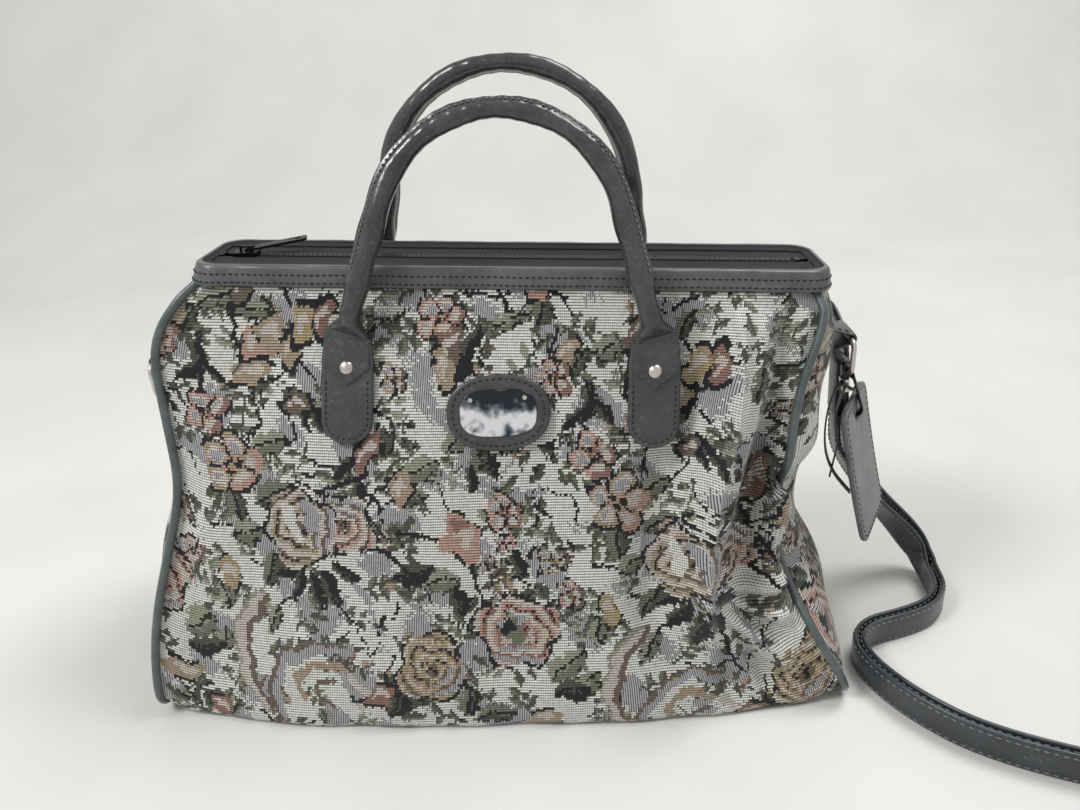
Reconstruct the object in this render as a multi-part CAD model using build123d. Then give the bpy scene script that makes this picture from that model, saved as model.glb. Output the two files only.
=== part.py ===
from build123d import *
import math
import os

os.makedirs("parts", exist_ok=True)

# Body of the bag, in mm: X along it, Y from front to back, Z up, origin on the base
base_length = 432.0
base_depth = 208.0
top_length = 365.0
top_lean = 22.0
left_height = 274.0
right_height = 253.0
mouth_width = 60.0
cloth = 2.5
hem_drop = 18.0
hem_run = 6.4
corner_radius = 10.0
wall_bulge = 13.0
base_lift = 6.4
base_skim = 0.6
clear = 0.3
seat = 0.15

# How the cloth's cross-section changes from the left end to the right end
station_shares = (0.0, 0.05, 0.1, 0.15, 0.2, 0.25, 0.3, 0.35, 0.4, 0.45,
                  0.5, 0.55, 0.6, 0.65, 0.7, 0.75, 0.8, 0.85, 0.9, 0.95, 1.0)
depth_shares = (0.92, 0.933, 0.945, 0.958, 0.97, 0.981, 0.99, 0.996, 1.0, 1.0,
                1.0, 0.998, 0.995, 0.991, 0.985, 0.976, 0.965, 0.956, 0.945, 0.933, 0.92)
front_shares = (0.0, 0.22, 0.45, 0.64, 0.8, 0.92, 1.0, 1.0, 1.0, 0.98,
                0.95, 0.89, 0.82, 0.75, 0.68, 0.25, -0.45, 0.05, 0.65, 0.35, 0.0)
back_shares = (0.0, 0.22, 0.45, 0.64, 0.8, 0.92, 1.0, 1.0, 1.0, 1.0,
               1.0, 1.0, 1.0, 0.98, 0.95, 0.89, 0.8, 0.67, 0.5, 0.26, 0.0)

# End panels and piping
left_swell = 9.0
right_pinch = 6.0
end_rim = 14.0
end_slope = 12.0
piping_radius = 2.5
piping_hem = 30.0
piping_turn = 12.0

# Bands and zip along the mouth
band = 2.2
band_leg = 15.0
band_mouth = 14.0
band_inset = 4.0
band_corner = 1.8
tape = 0.8
tape_reach = 22.0
tape_inset = 6.0
tooth_root = 3.2
tooth_neck = 2.2
tooth_tip = 1.1
tooth_pitch = 3.0
tooth_width = 1.2
tooth_height = 2.4
chain_inset = 15.0
stop_length = 3.0
stop_width = 2.4
stop_height = 3.0

# Slider and pull
slider_length = 14.0
slider_width = 11.0
slider_plate = 1.3
slider_flange = 1.3
post_length = 3.0
post_width = 2.0
bridge_length = 7.6
bridge_width = 1.8
bridge_bar = 1.1
bridge_gap = 2.2
pin_radius = 0.75
eye_width = 7.2
eye_bar = 1.3
pull_length = 36.0
pull_width = 9.0
pull_thick = 1.5
pull_yaw_deg = 12.0
pull_lift_deg = 9.0

# Handles, tabs and rivets
handle_spacing = 175.0
front_handle_height = 124.0
back_handle_height = 139.0
handle_radius = 7.2
handle_centre = 16.0
front_leg_deg = 16.5
back_leg_deg = 9.0
round_share = 0.49
front_lean_deg = 16.0
back_lean_deg = 7.0
front_hinge_below = 36.0
back_hinge_below = 33.0
neck_out = 7.6
neck_lap = 2.0
neck_step = 0.4
knuckle_radius = 2.4
flare_width = 26.0
flare_length = 27.0
root_share = 0.9
tab_width = 28.0
tab_length = 56.0
tab_thick = 2.0
tab_corner = 12.0
foot_share = 0.85
spot_shares = (-0.1, 0.1, 0.3, 0.5, 0.7, 0.85)
tongue_start = 4.0
tongue_width = 24.0
tongue_length = 27.0
tongue_point = 9.0
tongue_thick = 1.4
rivet_drop = 17.0
rivet_radius = 4.2
rivet_height = 2.2
shank_radius = 1.5
washer_radius = 4.0
washer_thick = 1.0

# Patch with the plate
patch_width = 58.0
patch_height = 40.0
patch_thick = 1.8
patch_centre = 13.0
patch_level = 190.0
patch_slant_share = 0.7
plate_width = 44.0
plate_height = 27.0
plate_corner = 8.0
plate_thick = 1.4
plate_rim = 2.4
plate_sink = 0.5
pin_head_radius = 1.3
pin_head_height = 0.9
pin_shank_radius = 0.7
pin_side_inset = 4.1
pin_rise_inset = 3.1

# Rings and their loops on the ends
ring_level = 206.0
ring_wire = 1.6
ring_width = 39.0
ring_height = 20.0
ring_corner = 4.6
loop_reach = 17.0
loop_spread = 9.0
loop_strap = 2.0
loop_width = 26.0

# Shoulder strap
strap_width = 20.0
strap_thick = 3.2
strap_skive = 2.2
strap_tail = 34.0
strap_gap = 5.6
strap_side = 3.6
floor_reach = ((92.0, 14.0), (90.0, -6.0), (76.0, -24.0), (54.0, -34.0), (28.0, -42.0), (16.0, -58.0),
               (20.0, -82.0), (36.0, -109.0), (62.0, -135.0), (108.0, -156.0), (138.0, -163.0))
bight_reach = ((166.0, -160.0), (170.0, -138.0), (148.0, -132.0))
rise_reach = ((15.0, 14.0, 116.0), (50.0, 34.0, 66.0), (84.0, 38.0, 26.0))
outer_reach = ((20.4, 15.0, 119.0), (53.8, 37.2, 69.7), (87.0, 43.1, 27.6))
crest_reach = (16.0, 12.0, 146.0)
corner_reach = ((15.0, 20.0, 190.0), (12.0, 46.0, 205.0), (-6.0, 61.0, 206.0))
back_reach = ((-66.0, 64.0, 203.0), (-186.0, 72.0, 188.0), (-306.0, 78.0, 168.0), (-378.0, 80.0, 150.0))
wrap_reach = ((6.0, 75.0, 138.0), (4.0, 42.0, 122.0), (7.0, 12.0, 116.0))
strap_lead = 13.0
strap_steps = 4
slant_shares = (0.25, 0.45, 0.75)
bend_share = 0.45

# Luggage tag
tag_width = 52.0
tag_height = 96.0
tag_thick = 3.4
tag_corner = 7.0
tag_slot_width = 10.0
tag_slot_height = 4.6
tag_slot_drop = 9.0
tag_drop = 28.0
tag_yaw_deg = 30.0
tag_swing_deg = 14.0
tag_side = 11.4
tag_strap_width = 5.0
tag_strap_thick = 1.2
buckle_width = 8.0
buckle_height = 8.0
buckle_bar = 1.2
buckle_share = 0.32

# Board in the base
board_length = 328.0
board_width = 148.0
board_thick = 3.0
board_corner = 12.0


def save(solid, name):
    export_step(solid, "parts/" + name + ".step")


# Where each cross-section stands
half_base = base_length / 2
half_top = top_length / 2
top_left = Vector(top_lean - half_top, 0, left_height)
top_right = Vector(top_lean + half_top, 0, right_height)
half_mouth = mouth_width / 2


def section_plane(share):
    foot = Vector(base_length * share - half_base, 0, 0)
    head = top_left + (top_right - top_left) * share
    rise = (head - foot).normalized()
    return Plane(origin=foot, x_dir=(0, 1, 0), z_dir=(rise.Z, 0, -rise.X)), (head - foot).length


def bowed(a, b, bow):
    """An arc from a to b that bows to the left of the way from a to b."""
    if bow == 0:
        return Line(a, b)
    way = b - a
    side = Vector(-way.Y, way.X).normalized()
    return ThreePointArc(a, (a + b) / 2 + side * bow, b)


def quarter(centre, a, b):
    """The corner's arc about centre, from a to b."""
    out = ((a + b) / 2 - centre).normalized() * (a - centre).length
    return ThreePointArc(a, centre + out, b)


def wall_points(height, half_depth, floor, inset):
    """The right half of an outline, from the mouth down to the base, inset evenly."""
    mouth = Vector(half_mouth - inset, height)
    hem = Vector(half_mouth + hem_run - inset, height - hem_drop)
    turn = Vector(half_depth - inset, floor + corner_radius)
    foot = Vector(half_depth - corner_radius, floor + inset)
    centre = Vector(half_depth - corner_radius, floor + corner_radius)
    return mouth, hem, turn, foot, centre


def mirrored(point):
    return Vector(-point.X, point.Y)


def outline_edges(height, half_depth, floor, inset, front_bow, back_bow):
    """The open outline of a cross-section, from the front of the mouth round the base to its back."""
    mouth, hem, turn, foot, centre = wall_points(height, half_depth, floor, inset)
    front = [mirrored(p) for p in (mouth, hem, turn, foot, centre)]
    return [
        Line(front[0], front[1]),
        bowed(front[1], front[2], -front_bow),
        quarter(front[4], front[2], front[3]),
        Line(front[3], foot),
        quarter(centre, foot, turn),
        bowed(turn, hem, -back_bow),
        Line(hem, mouth),
    ]


def closed_face(edges, more):
    return make_face(Wire(edges + more))


def station(index):
    share = station_shares[index]
    plane, height = section_plane(share)
    at_end = index in (0, len(station_shares) - 1)
    floor = base_lift if at_end else -base_skim
    half_depth = base_depth / 2 * depth_shares[index]
    front_bow = wall_bulge * front_shares[index]
    back_bow = wall_bulge * back_shares[index]
    return plane, (height, half_depth, floor, front_bow, back_bow)


def cloth_section(index):
    plane, (height, half_depth, floor, front_bow, back_bow) = station(index)
    outer = outline_edges(height, half_depth, floor, 0, front_bow, back_bow)
    inner = outline_edges(height, half_depth, floor, cloth, front_bow, back_bow)
    joins = [Line(outer[-1] @ 1, inner[-1] @ 1), Line(inner[0] @ 0, outer[0] @ 0)]
    return plane * closed_face(outer + joins, inner)


# The cloth: one wrap of front, base and back
sections = [cloth_section(i) for i in range(len(station_shares))]
wrap = loft(sections)
below = Pos(0, 0, -base_depth / 2) * Box(base_length * 2, base_depth * 2, base_depth)
wrap = wrap - below


def skin_at(solid, x, z, from_back):
    """The point on the cloth's outside at this X and Z, and the way it faces."""
    side = 1 if from_back else -1
    probe = Axis((x, side * base_depth * 2, z), (0, -side, 0))
    point, facing = solid.find_intersection_points(probe)[0]
    if facing.Y * side < 0:
        facing = facing * -1
    return point, facing


# End panels: a rim that is sewn flat to the wrap, and a middle that swells out or is pinched in
def end_face(index, inset, rise):
    plane, (height, half_depth, floor, front_bow, back_bow) = station(index)
    edges = outline_edges(height, half_depth, floor, 0, front_bow, back_bow)
    if inset > 0:
        low = Vector(half_depth - inset, floor + inset)
        knee = Vector(half_depth - inset, floor + corner_radius + inset)
        brow = Vector(half_mouth + hem_run - inset / 2, height - hem_drop - inset)
        ridge = Vector(half_mouth - inset / 2, height - inset)
        right = [low, knee, brow, ridge]
        left = [mirrored(p) for p in reversed(right)]
        return plane.offset(rise) * make_face(Polyline(*right, *left, close=True))
    lid = Line(edges[-1] @ 1, edges[0] @ 0)
    return plane.offset(rise) * make_face(Wire(edges + [lid]))


def end_panel(index, outward, swell):
    """outward is 1 where the section's plane faces out of the bag, and -1 where it faces in."""
    slab = extrude(end_face(index, 0, 0), amount=cloth * outward)
    start = cloth if swell > 0 else 0
    tray = loft([end_face(index, end_rim, start * outward),
                 end_face(index, end_rim + end_slope, (start + swell) * outward)], ruled=True)
    back = 0 if swell > 0 else cloth
    hollow = loft([end_face(index, end_rim + cloth, back * outward),
                   end_face(index, end_rim + end_slope + cloth, (back + swell) * outward)], ruled=True)
    return slab + tray - hollow


last = len(station_shares) - 1
left_end = end_panel(0, -1, left_swell)
right_end = end_panel(last, 1, -right_pinch)


# Piping round each end seam, just outside the cloth
def piping(index, outward):
    plane, (height, half_depth, floor, front_bow, back_bow) = station(index)
    out = piping_radius + clear
    lip = Vector(half_mouth + out, height)
    hem = Vector(half_mouth + out + hem_run, height - hem_drop)
    turn = Vector(half_depth + out, floor + corner_radius)
    corner = Vector(half_depth + out, floor - out)
    right = [lip, hem, turn, corner]
    left = [mirrored(p) for p in reversed(right)]
    bends = [piping_hem, piping_turn, corner_radius]
    path = plane.offset(cloth * outward) * FilletPolyline(*right, *left, radius=bends + bends[::-1])
    start = Plane(origin=path @ 0, z_dir=path % 0)
    return sweep(start * Circle(piping_radius), path=path)


left_piping = piping(0, -1)
right_piping = piping(last, 1)

# The mouth: everything along it is made in a frame that follows its line
mouth_way = (top_right - top_left).normalized()
mouth_span = (top_right - top_left).length
mouth_up = Vector(-mouth_way.Z, 0, mouth_way.X)
mouth_plane = Plane(origin=(top_left + top_right) / 2, x_dir=mouth_way, z_dir=mouth_up)
mouth_frame = Location(mouth_plane)


def along_mouth(face_points, start, stop):
    """A prism along the mouth from a cross-section in the mouth's own Y and Z."""
    side_plane = Plane(origin=(start, 0, 0), x_dir=(0, 1, 0), z_dir=(1, 0, 0))
    return extrude(side_plane * make_face(Polyline(*face_points, close=True)), amount=stop - start)


def block(x0, x1, y0, y1, z0, z1):
    return Pos((x0 + x1) / 2, (y0 + y1) / 2, (z0 + z1) / 2) * Box(x1 - x0, y1 - y0, z1 - z0)


slope = hem_run / hem_drop
half_span = mouth_span / 2


def top_band(side):
    lip = half_mouth + seat
    drop = slope * band_leg
    shape = [
        (side * (lip + drop), -band_leg),
        (side * lip, seat),
        (side * band_mouth, seat),
        (side * band_mouth, seat + band),
        (side * (lip + band), seat + band),
        (side * (lip + band + drop), -band_leg),
    ]
    solid = along_mouth(shape, band_inset - half_span, half_span - band_inset)
    edge = solid.edges().filter_by(Axis.X).sort_by(lambda e: side * e.center().Y + e.center().Z)[-1]
    return mouth_frame * fillet(edge, band_corner)


front_band = top_band(-1)
back_band = top_band(1)

tape_top = seat - seat / 2
tape_mid = tape_top - tape / 2


def zip_tape(side):
    y = sorted((side * tooth_root, side * tape_reach))
    solid = block(tape_inset - half_span, half_span - tape_inset, y[0], y[1], tape_top - tape, tape_top)
    return mouth_frame * solid


front_tape = zip_tape(-1)
back_tape = zip_tape(1)

slider_centre = chain_inset + slider_length / 2 - half_span
chain_start = slider_centre - slider_length / 2 + post_length + clear * 2
chain_stop = half_span - chain_inset
tooth_count = int((chain_stop - chain_start) / tooth_pitch)


def zip_teeth(side):
    shift = 0 if side < 0 else tooth_pitch / 2
    outline = [(chain_start, side * tooth_root), (chain_start, side * tooth_neck)]
    for i in range(tooth_count):
        x0 = chain_start + shift + i * tooth_pitch + clear
        x1 = x0 + tooth_width
        outline += [(x0, side * tooth_neck), (x0, -side * tooth_tip)]
        outline += [(x1, -side * tooth_tip), (x1, side * tooth_neck)]
    outline += [(chain_stop, side * tooth_neck), (chain_stop, side * tooth_root)]
    flat = Pos(0, 0, tape_mid - tooth_height / 2) * make_face(Polyline(*outline, close=True))
    return mouth_frame * extrude(flat, amount=tooth_height, dir=(0, 0, 1))


front_teeth = zip_teeth(-1)
back_teeth = zip_teeth(1)

low_stop = tape_mid - stop_height / 2
high_stop = tape_mid + stop_height / 2
stop_left = tape_inset - half_span
stops = [
    block(stop_left, stop_left + stop_length, -tooth_root, -tooth_root + stop_width, low_stop, high_stop),
    block(stop_left, stop_left + stop_length, tooth_root - stop_width, tooth_root, low_stop, high_stop),
    block(chain_stop, chain_stop + stop_length, -tooth_root, tooth_root, low_stop, high_stop),
]
zip_stops = Compound(children=[Part((mouth_frame * s).wrapped) for s in stops])

# Slider: two plates joined by the post that parts the teeth, flanges with a slot for each tape, a bridge
plate_gap = tooth_height / 2 + clear
half_slider = slider_length / 2
slider_side = slider_width / 2
plate_low = tape_mid + plate_gap
plate_high = plate_low + slider_plate
under_high = tape_mid - plate_gap
under_low = under_high - slider_plate
sx0 = slider_centre - half_slider
sx1 = slider_centre + half_slider
slider = block(sx0, sx1, -slider_side, slider_side, plate_low, plate_high)
slider += block(sx0, sx1, -slider_side, slider_side, under_low, under_high)
slider += block(sx0, sx0 + post_length, -post_width / 2, post_width / 2, under_high, plate_low)
for flank in (-1, 1):
    fy = sorted((flank * slider_side, flank * (slider_side - slider_flange)))
    slider += block(sx0, sx1, fy[0], fy[1], tape_top + clear, plate_low)
    slider += block(sx0, sx1, fy[0], fy[1], under_high, tape_top - tape - clear)
corners = slider.edges().filter_by(Axis.Z).group_by(lambda e: round(abs(e.center().Y), 3))[-1]
slider = fillet(corners, slider_flange / 2)
bx0 = slider_centre - bridge_length / 2
bx1 = slider_centre + bridge_length / 2
bridge_low = plate_high + bridge_gap
bridge_high = bridge_low + bridge_bar
half_bridge = bridge_width / 2
bridge = block(bx0, bx0 + bridge_bar, -half_bridge, half_bridge, plate_high, bridge_high)
bridge += block(bx1 - bridge_bar, bx1, -half_bridge, half_bridge, plate_high, bridge_high)
bridge += block(bx0, bx1, -half_bridge, half_bridge, bridge_low, bridge_high)
zip_slider = mouth_frame * (slider + bridge)

# Pull: a cross-pin under the bridge, two arms and a tab
pivot_height = plate_high + bridge_gap / 2
half_eye = eye_width / 2
pull = Rot(90, 0, 0) * Cylinder(pin_radius, eye_width)
arm_end = bridge_length / 2 + eye_bar * 2
for flank in (-1, 1):
    ay = sorted((flank * half_eye, flank * (half_eye - eye_bar)))
    pull += block(0, arm_end, ay[0], ay[1], -pin_radius, pin_radius)
tab_shape = Pos((arm_end + pull_length) / 2, 0, -pin_radius) * RectangleRounded(
    pull_length - arm_end + eye_bar, pull_width, pull_width / 4)
pull += extrude(tab_shape, amount=pull_thick, dir=(0, 0, 1))
eyelet = Pos(pull_length - pull_width / 2, 0, 0) * Cylinder(pull_width / 5, pull_thick * 4)
pull -= eyelet
pull_place = Pos(slider_centre, 0, pivot_height) * Rot(0, 0, pull_yaw_deg) * Rot(0, -pull_lift_deg, 0)
zip_pull = mouth_frame * pull_place * pull
pull_pivot = (mouth_frame * Pos(slider_centre, 0, pivot_height)).position
pull_axis = (mouth_frame * Rot(0, 0, pull_yaw_deg) * Vertex(0, 1, 0)).center() - mouth_plane.origin


# Handles: tabs on the cloth, a knuckle where each leg folds, a flare and a tube
def mouth_level(x):
    return left_height + (right_height - left_height) * (x - top_left.X) / top_length


def lift_over(points, origin, out):
    """How far the points stand out past the origin."""
    return max(0, max((p - origin).dot(out) for p in points))


def tab_seats(xs, from_back):
    """The frames of a handle's two tabs, at its fold: X along the fold, Y up the cloth, Z out."""
    below = back_hinge_below if from_back else front_hinge_below
    heads = [skin_at(wrap, x, mouth_level(x) - below, from_back)[0] for x in xs]
    way = (heads[1] - heads[0]).normalized()
    frames = []
    for x, head in zip(xs, heads):
        level = mouth_level(x) - below
        foot, facing = skin_at(wrap, x, level - tab_length * foot_share, from_back)
        up = (head - foot).normalized()
        out = up.cross(way).normalized()
        if out.dot(facing) < 0:
            out = out * -1
        right = way if not from_back else way * -1
        spots = [(x + i * tab_width / 2, level - tab_length * j) for i in (-1, 0, 1) for j in spot_shares]
        lift = lift_over([skin_at(wrap, u, v, from_back)[0] for u, v in spots], head, out)
        frames.append(Plane(origin=head + out * (lift + clear), x_dir=right, z_dir=out))
    return frames


tab_top = knuckle_radius + clear


def tab_solid(frame):
    low = tab_length - tab_top
    sheet = Pos(0, -(tab_top + low / 2), 0) * RectangleRounded(tab_width, low, tab_corner)
    square = Pos(0, -(tab_top + tab_corner), 0) * Rectangle(tab_width, tab_corner * 2)
    solid = extrude(sheet + square, amount=tab_thick, dir=(0, 0, 1))
    half = tongue_width / 2
    shoulder = tongue_length - tongue_point
    brow = tab_top + tongue_start
    points = [(-half, -brow), (half, -brow), (half, -shoulder)]
    points += [(0, -tongue_length), (-half, -shoulder)]
    tongue = Pos(0, 0, tab_thick) * make_face(Polyline(*points, close=True))
    solid += extrude(tongue, amount=tongue_thick, dir=(0, 0, 1))
    bore = Pos(0, -rivet_drop, 0) * Cylinder(shank_radius + seat, tab_length)
    return Location(frame) * (solid - bore)


def rivet_solid(frame):
    top = tab_thick + tongue_thick
    foot = clear + cloth + clear
    ball = (rivet_radius ** 2 + rivet_height ** 2) / (2 * rivet_height)
    cap = Pos(0, 0, top + rivet_height - ball) * Sphere(ball)
    cap = cap & Pos(0, 0, top + rivet_height / 2) * Box(rivet_radius * 4, rivet_radius * 4, rivet_height)
    shank = Pos(0, 0, (top - foot * 2) / 2) * Cylinder(shank_radius, top + foot * 2)
    washer = Pos(0, 0, -foot * 2 - washer_thick / 2) * Cylinder(washer_radius, washer_thick)
    return Location(frame) * Pos(0, -rivet_drop, 0) * (cap + shank + washer)


tab_x = (handle_centre - handle_spacing / 2, handle_centre + handle_spacing / 2)
front_frames = tab_seats(tab_x, False)
back_frames = tab_seats(tab_x, True)
front_tabs = [tab_solid(f) for f in front_frames]
back_tabs = [tab_solid(f) for f in back_frames]
rivet_list = [rivet_solid(f) for f in front_frames + back_frames]
for f in front_frames + back_frames:
    wrap -= Location(f) * Pos(0, -rivet_drop, 0) * Cylinder(shank_radius + seat, cloth * 8)
rivets = Compound(children=[Part(r.wrapped) for r in rivet_list])


def hinge_of(frames):
    """The line that a handle folds about, from its left root to its right root."""
    ends = [f.origin + f.z_dir * knuckle_radius for f in frames]
    return ends[0], ends[1]


def handle_solid(frames, lean_deg, leg_deg, handle_height, inward):
    """inward is the Y way that the handle leans: 1 to the back, -1 to the front."""
    left, right = hinge_of(frames)
    way = (right - left).normalized()
    span = (right - left).length
    upright = Vector(0, inward * math.sin(math.radians(lean_deg)), math.cos(math.radians(lean_deg)))
    rise = (upright - way * upright.dot(way)).normalized()
    frame = Plane(origin=(left + right) / 2, x_dir=way, z_dir=way.cross(rise))
    tilt = math.radians(leg_deg)
    out = neck_out * inward
    half = span / 2
    bend = (half * math.cos(tilt) - handle_height * math.sin(tilt)) / (1 - math.sin(tilt))
    middle = handle_height - bend
    touch = Vector(bend * math.cos(tilt), middle + bend * math.sin(tilt))
    start = Vector(half - flare_length * math.tan(tilt), flare_length)
    path = Pos(0, 0, out) * Wire([
        Line(mirrored(start), mirrored(touch)),
        ThreePointArc(mirrored(touch), Vector(0, handle_height), touch),
        Line(touch, start),
    ])
    begin = Plane(origin=path @ 0, z_dir=path % 0)
    solid = sweep(begin * Circle(handle_radius), path=path)
    tube = (handle_radius - neck_step) * 2
    root_thick = knuckle_radius * 2 * root_share
    for flank in (-1, 1):
        root = Plane(origin=(flank * half, 0, 0), x_dir=(1, 0, 0), z_dir=(0, 1, 0))
        leg = Vector(-flank * math.sin(tilt), math.cos(tilt))
        neck_point = Vector(flank * start.X, start.Y, out) + leg * neck_lap
        neck = Plane(origin=neck_point, x_dir=Vector(math.cos(tilt), flank * math.sin(tilt)), z_dir=leg)
        flat = root * RectangleRounded(flare_width * root_share, root_thick, root_thick * round_share)
        full = neck * RectangleRounded(tube, tube, tube * round_share)
        flare = loft([flat, full])
        knuckle = Pos(flank * half, 0, 0) * Rot(0, 90, 0) * Cylinder(knuckle_radius, flare_width)
        solid = solid + flare + knuckle
    return Location(frame) * solid


front_handle = handle_solid(front_frames, front_lean_deg, front_leg_deg, front_handle_height, 1)
back_handle = handle_solid(back_frames, back_lean_deg, back_leg_deg, back_handle_height, -1)

# Oval patch, plate and pins
patch_point, patch_facing = skin_at(wrap, patch_centre, patch_level, False)
patch_up = Vector(0, 0, 1) - patch_facing * patch_facing.Z
patch_x = patch_up.cross(patch_facing).normalized()
slant = patch_slant_share
rim_ways = [(-1, 0), (1, 0), (0, -1), (0, 1)] + [(i * slant, j * slant) for i in (-1, 1) for j in (-1, 1)]
half_patch = (patch_width / 2, patch_height / 2)
patch_spots = [(patch_centre + i * half_patch[0], patch_level + j * half_patch[1]) for i, j in rim_ways]
patch_lift = lift_over([skin_at(wrap, u, v, False)[0] for u, v in patch_spots], patch_point, patch_facing)
patch_seat = patch_point + patch_facing * (patch_lift + clear)
patch_plane = Plane(origin=patch_seat, x_dir=patch_x, z_dir=patch_facing)
patch_frame = Location(patch_plane)
plate_seat = patch_thick - plate_sink
pocket_face = RectangleRounded(plate_width + seat * 2, plate_height + seat * 2, plate_corner + seat)
pocket = Pos(0, 0, plate_seat) * extrude(pocket_face, amount=patch_thick)
pin_side = plate_width / 2 - plate_rim - pin_side_inset
pin_rise = plate_height / 2 - plate_rim - pin_rise_inset
pin_spots = [Pos(i * pin_side, j * pin_rise, 0) for i in (-1, 1) for j in (-1, 1)]
pin_bores = [spot * Cylinder(pin_shank_radius + seat, patch_thick * 8) for spot in pin_spots]
patch = extrude(Ellipse(patch_width / 2, patch_height / 2), amount=patch_thick) - pocket
plate_face = RectangleRounded(plate_width, plate_height, plate_corner)
plate = Pos(0, 0, plate_seat) * extrude(plate_face, amount=plate_thick)
dish = RectangleRounded(plate_width - plate_rim * 2, plate_height - plate_rim * 2, plate_corner - plate_rim)
plate -= Pos(0, 0, plate_seat + plate_thick / 2) * extrude(dish, amount=plate_thick)
pin_list = []
for bore in pin_bores:
    patch -= bore
    plate -= bore
stem_length = plate_seat + plate_thick / 2
for spot in pin_spots:
    head = Pos(0, 0, stem_length + pin_head_height / 2) * Cylinder(pin_head_radius, pin_head_height)
    stem = Pos(0, 0, stem_length / 2) * Cylinder(pin_shank_radius, stem_length)
    pin_list.append(patch_frame * spot * (head + stem))
badge_patch = patch_frame * patch
badge_plate = patch_frame * plate
badge_pins = Compound(children=[Part(p.wrapped) for p in pin_list])


# Rings in their strap loops, one on each end panel
def flat_hull(circles, plane):
    """The face round a set of circles given as (u, v, radius) in plane."""
    edges = []
    for u, v, radius in circles:
        edges += (Pos(u, v) * Circle(radius)).edges()
    return plane * make_hull(edges)


def loop_parts(end, outward):
    probe = Axis((outward * base_length, 0, ring_level), (-outward, 0, 0))
    hit, facing = end.find_intersection_points(probe)[0]
    if facing.X * outward < 0:
        facing = facing * -1
    facing = Vector(facing.X, 0, facing.Z).normalized()
    up = Vector(-facing.Z * outward, 0, facing.X * outward)
    if up.Z < 0:
        up = up * -1
    inner = ring_wire + clear
    bar = hit + facing * (loop_reach + inner + loop_strap)
    plane = Plane(origin=(hit.X, loop_width / 2, hit.Z), x_dir=facing, z_dir=(0, -1, 0))
    lift = plane.to_local_coords(hit + up).Y
    foot = loop_strap / 2 + clear
    reach = loop_reach + inner + loop_strap
    outer_face = flat_hull([(reach, 0, inner + loop_strap), (foot, loop_spread * lift, loop_strap / 2),
                            (foot, -loop_spread * lift, loop_strap / 2)], plane)
    gap = foot + loop_strap
    narrow = loop_spread - loop_strap * 2
    small = loop_strap / 4
    inner_face = flat_hull([(reach, 0, inner), (gap, narrow, small), (gap, -narrow, small)], plane)
    loop = extrude(outer_face - inner_face, amount=loop_width)
    return loop, bar


def ring_solid(bar):
    flat = Pos(0, -ring_height / 2) * RectangleRounded(ring_width, ring_height, ring_corner)
    wire = (Plane(origin=bar, x_dir=(0, 1, 0), z_dir=(1, 0, 0)) * flat).wire()
    start = Plane(origin=wire @ 0, z_dir=wire % 0)
    return sweep(start * Circle(ring_wire), path=wire)


left_loop, left_bar = loop_parts(left_end, -1)
right_loop, right_bar = loop_parts(right_end, 1)
left_ring = ring_solid(left_bar)
right_ring = ring_solid(right_bar)
left_hook = left_bar - Vector(0, 0, ring_height)
right_hook = right_bar - Vector(0, 0, ring_height)


# Shoulder strap: a sewn eye on each ring, then ribbons along the strap's route
def strap_eye(hook, side):
    plane = Plane(origin=hook + Vector(0, side + strap_width / 2, 0), x_dir=(1, 0, 0), z_dir=(0, -1, 0))
    inner = ring_wire + clear
    outer = flat_hull([(0, 0, inner + strap_skive), (0, -strap_tail + strap_skive, strap_skive)], plane)
    hole = plane * Circle(inner)
    trim = plane * Pos(0, -strap_tail - strap_skive) * Rectangle(strap_tail, strap_skive * 4)
    return extrude(outer - hole - trim, amount=strap_width)


left_eye = strap_eye(left_hook, 0)
right_eye = strap_eye(right_hook, strap_side)


def bend_radii(points):
    """A radius for each corner of a route, from the shorter run beside it and the turn there."""
    radii = []
    for a, b, c in zip(points, points[1:], points[2:]):
        run = min((b - a).length, (c - b).length)
        turn = math.radians((b - a).get_angle(c - b))
        radii.append(bend_share * run / math.tan(turn / 2))
    return radii


def route(points, name):
    radii = bend_radii(points)
    print(name, "bend radii", [round(r, 1) for r in radii])
    return FilletPolyline(*points, radius=radii)


def floor_point(x, y):
    return Vector(half_base + x, y)


def beside(points, shift):
    """The points moved sideways, to the right of the way that they run."""
    moved = []
    for i, point in enumerate(points):
        before = points[max(0, i - 1)]
        after = points[min(len(points) - 1, i + 1)]
        way = (after - before).normalized()
        moved.append(point + Vector(way.Y, -way.X) * shift)
    return moved


floor_mid = [floor_point(x, y) for x, y in floor_reach]
near_run = beside(floor_mid, strap_gap / 2)
far_run = beside(floor_mid, -strap_gap / 2)
bight = [floor_point(x, y) for x, y in bight_reach]
floor_route = near_run + bight + list(reversed(far_run))
floor_path = route(floor_route, "strap on the floor")
floor_start = Plane(origin=floor_path @ 0, x_dir=(0, 0, 1), z_dir=floor_path % 0)
floor_face = floor_start * Pos(strap_width / 2, 0) * Rectangle(strap_width, strap_thick)
strap_floor = sweep(floor_face, path=floor_path)


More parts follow.
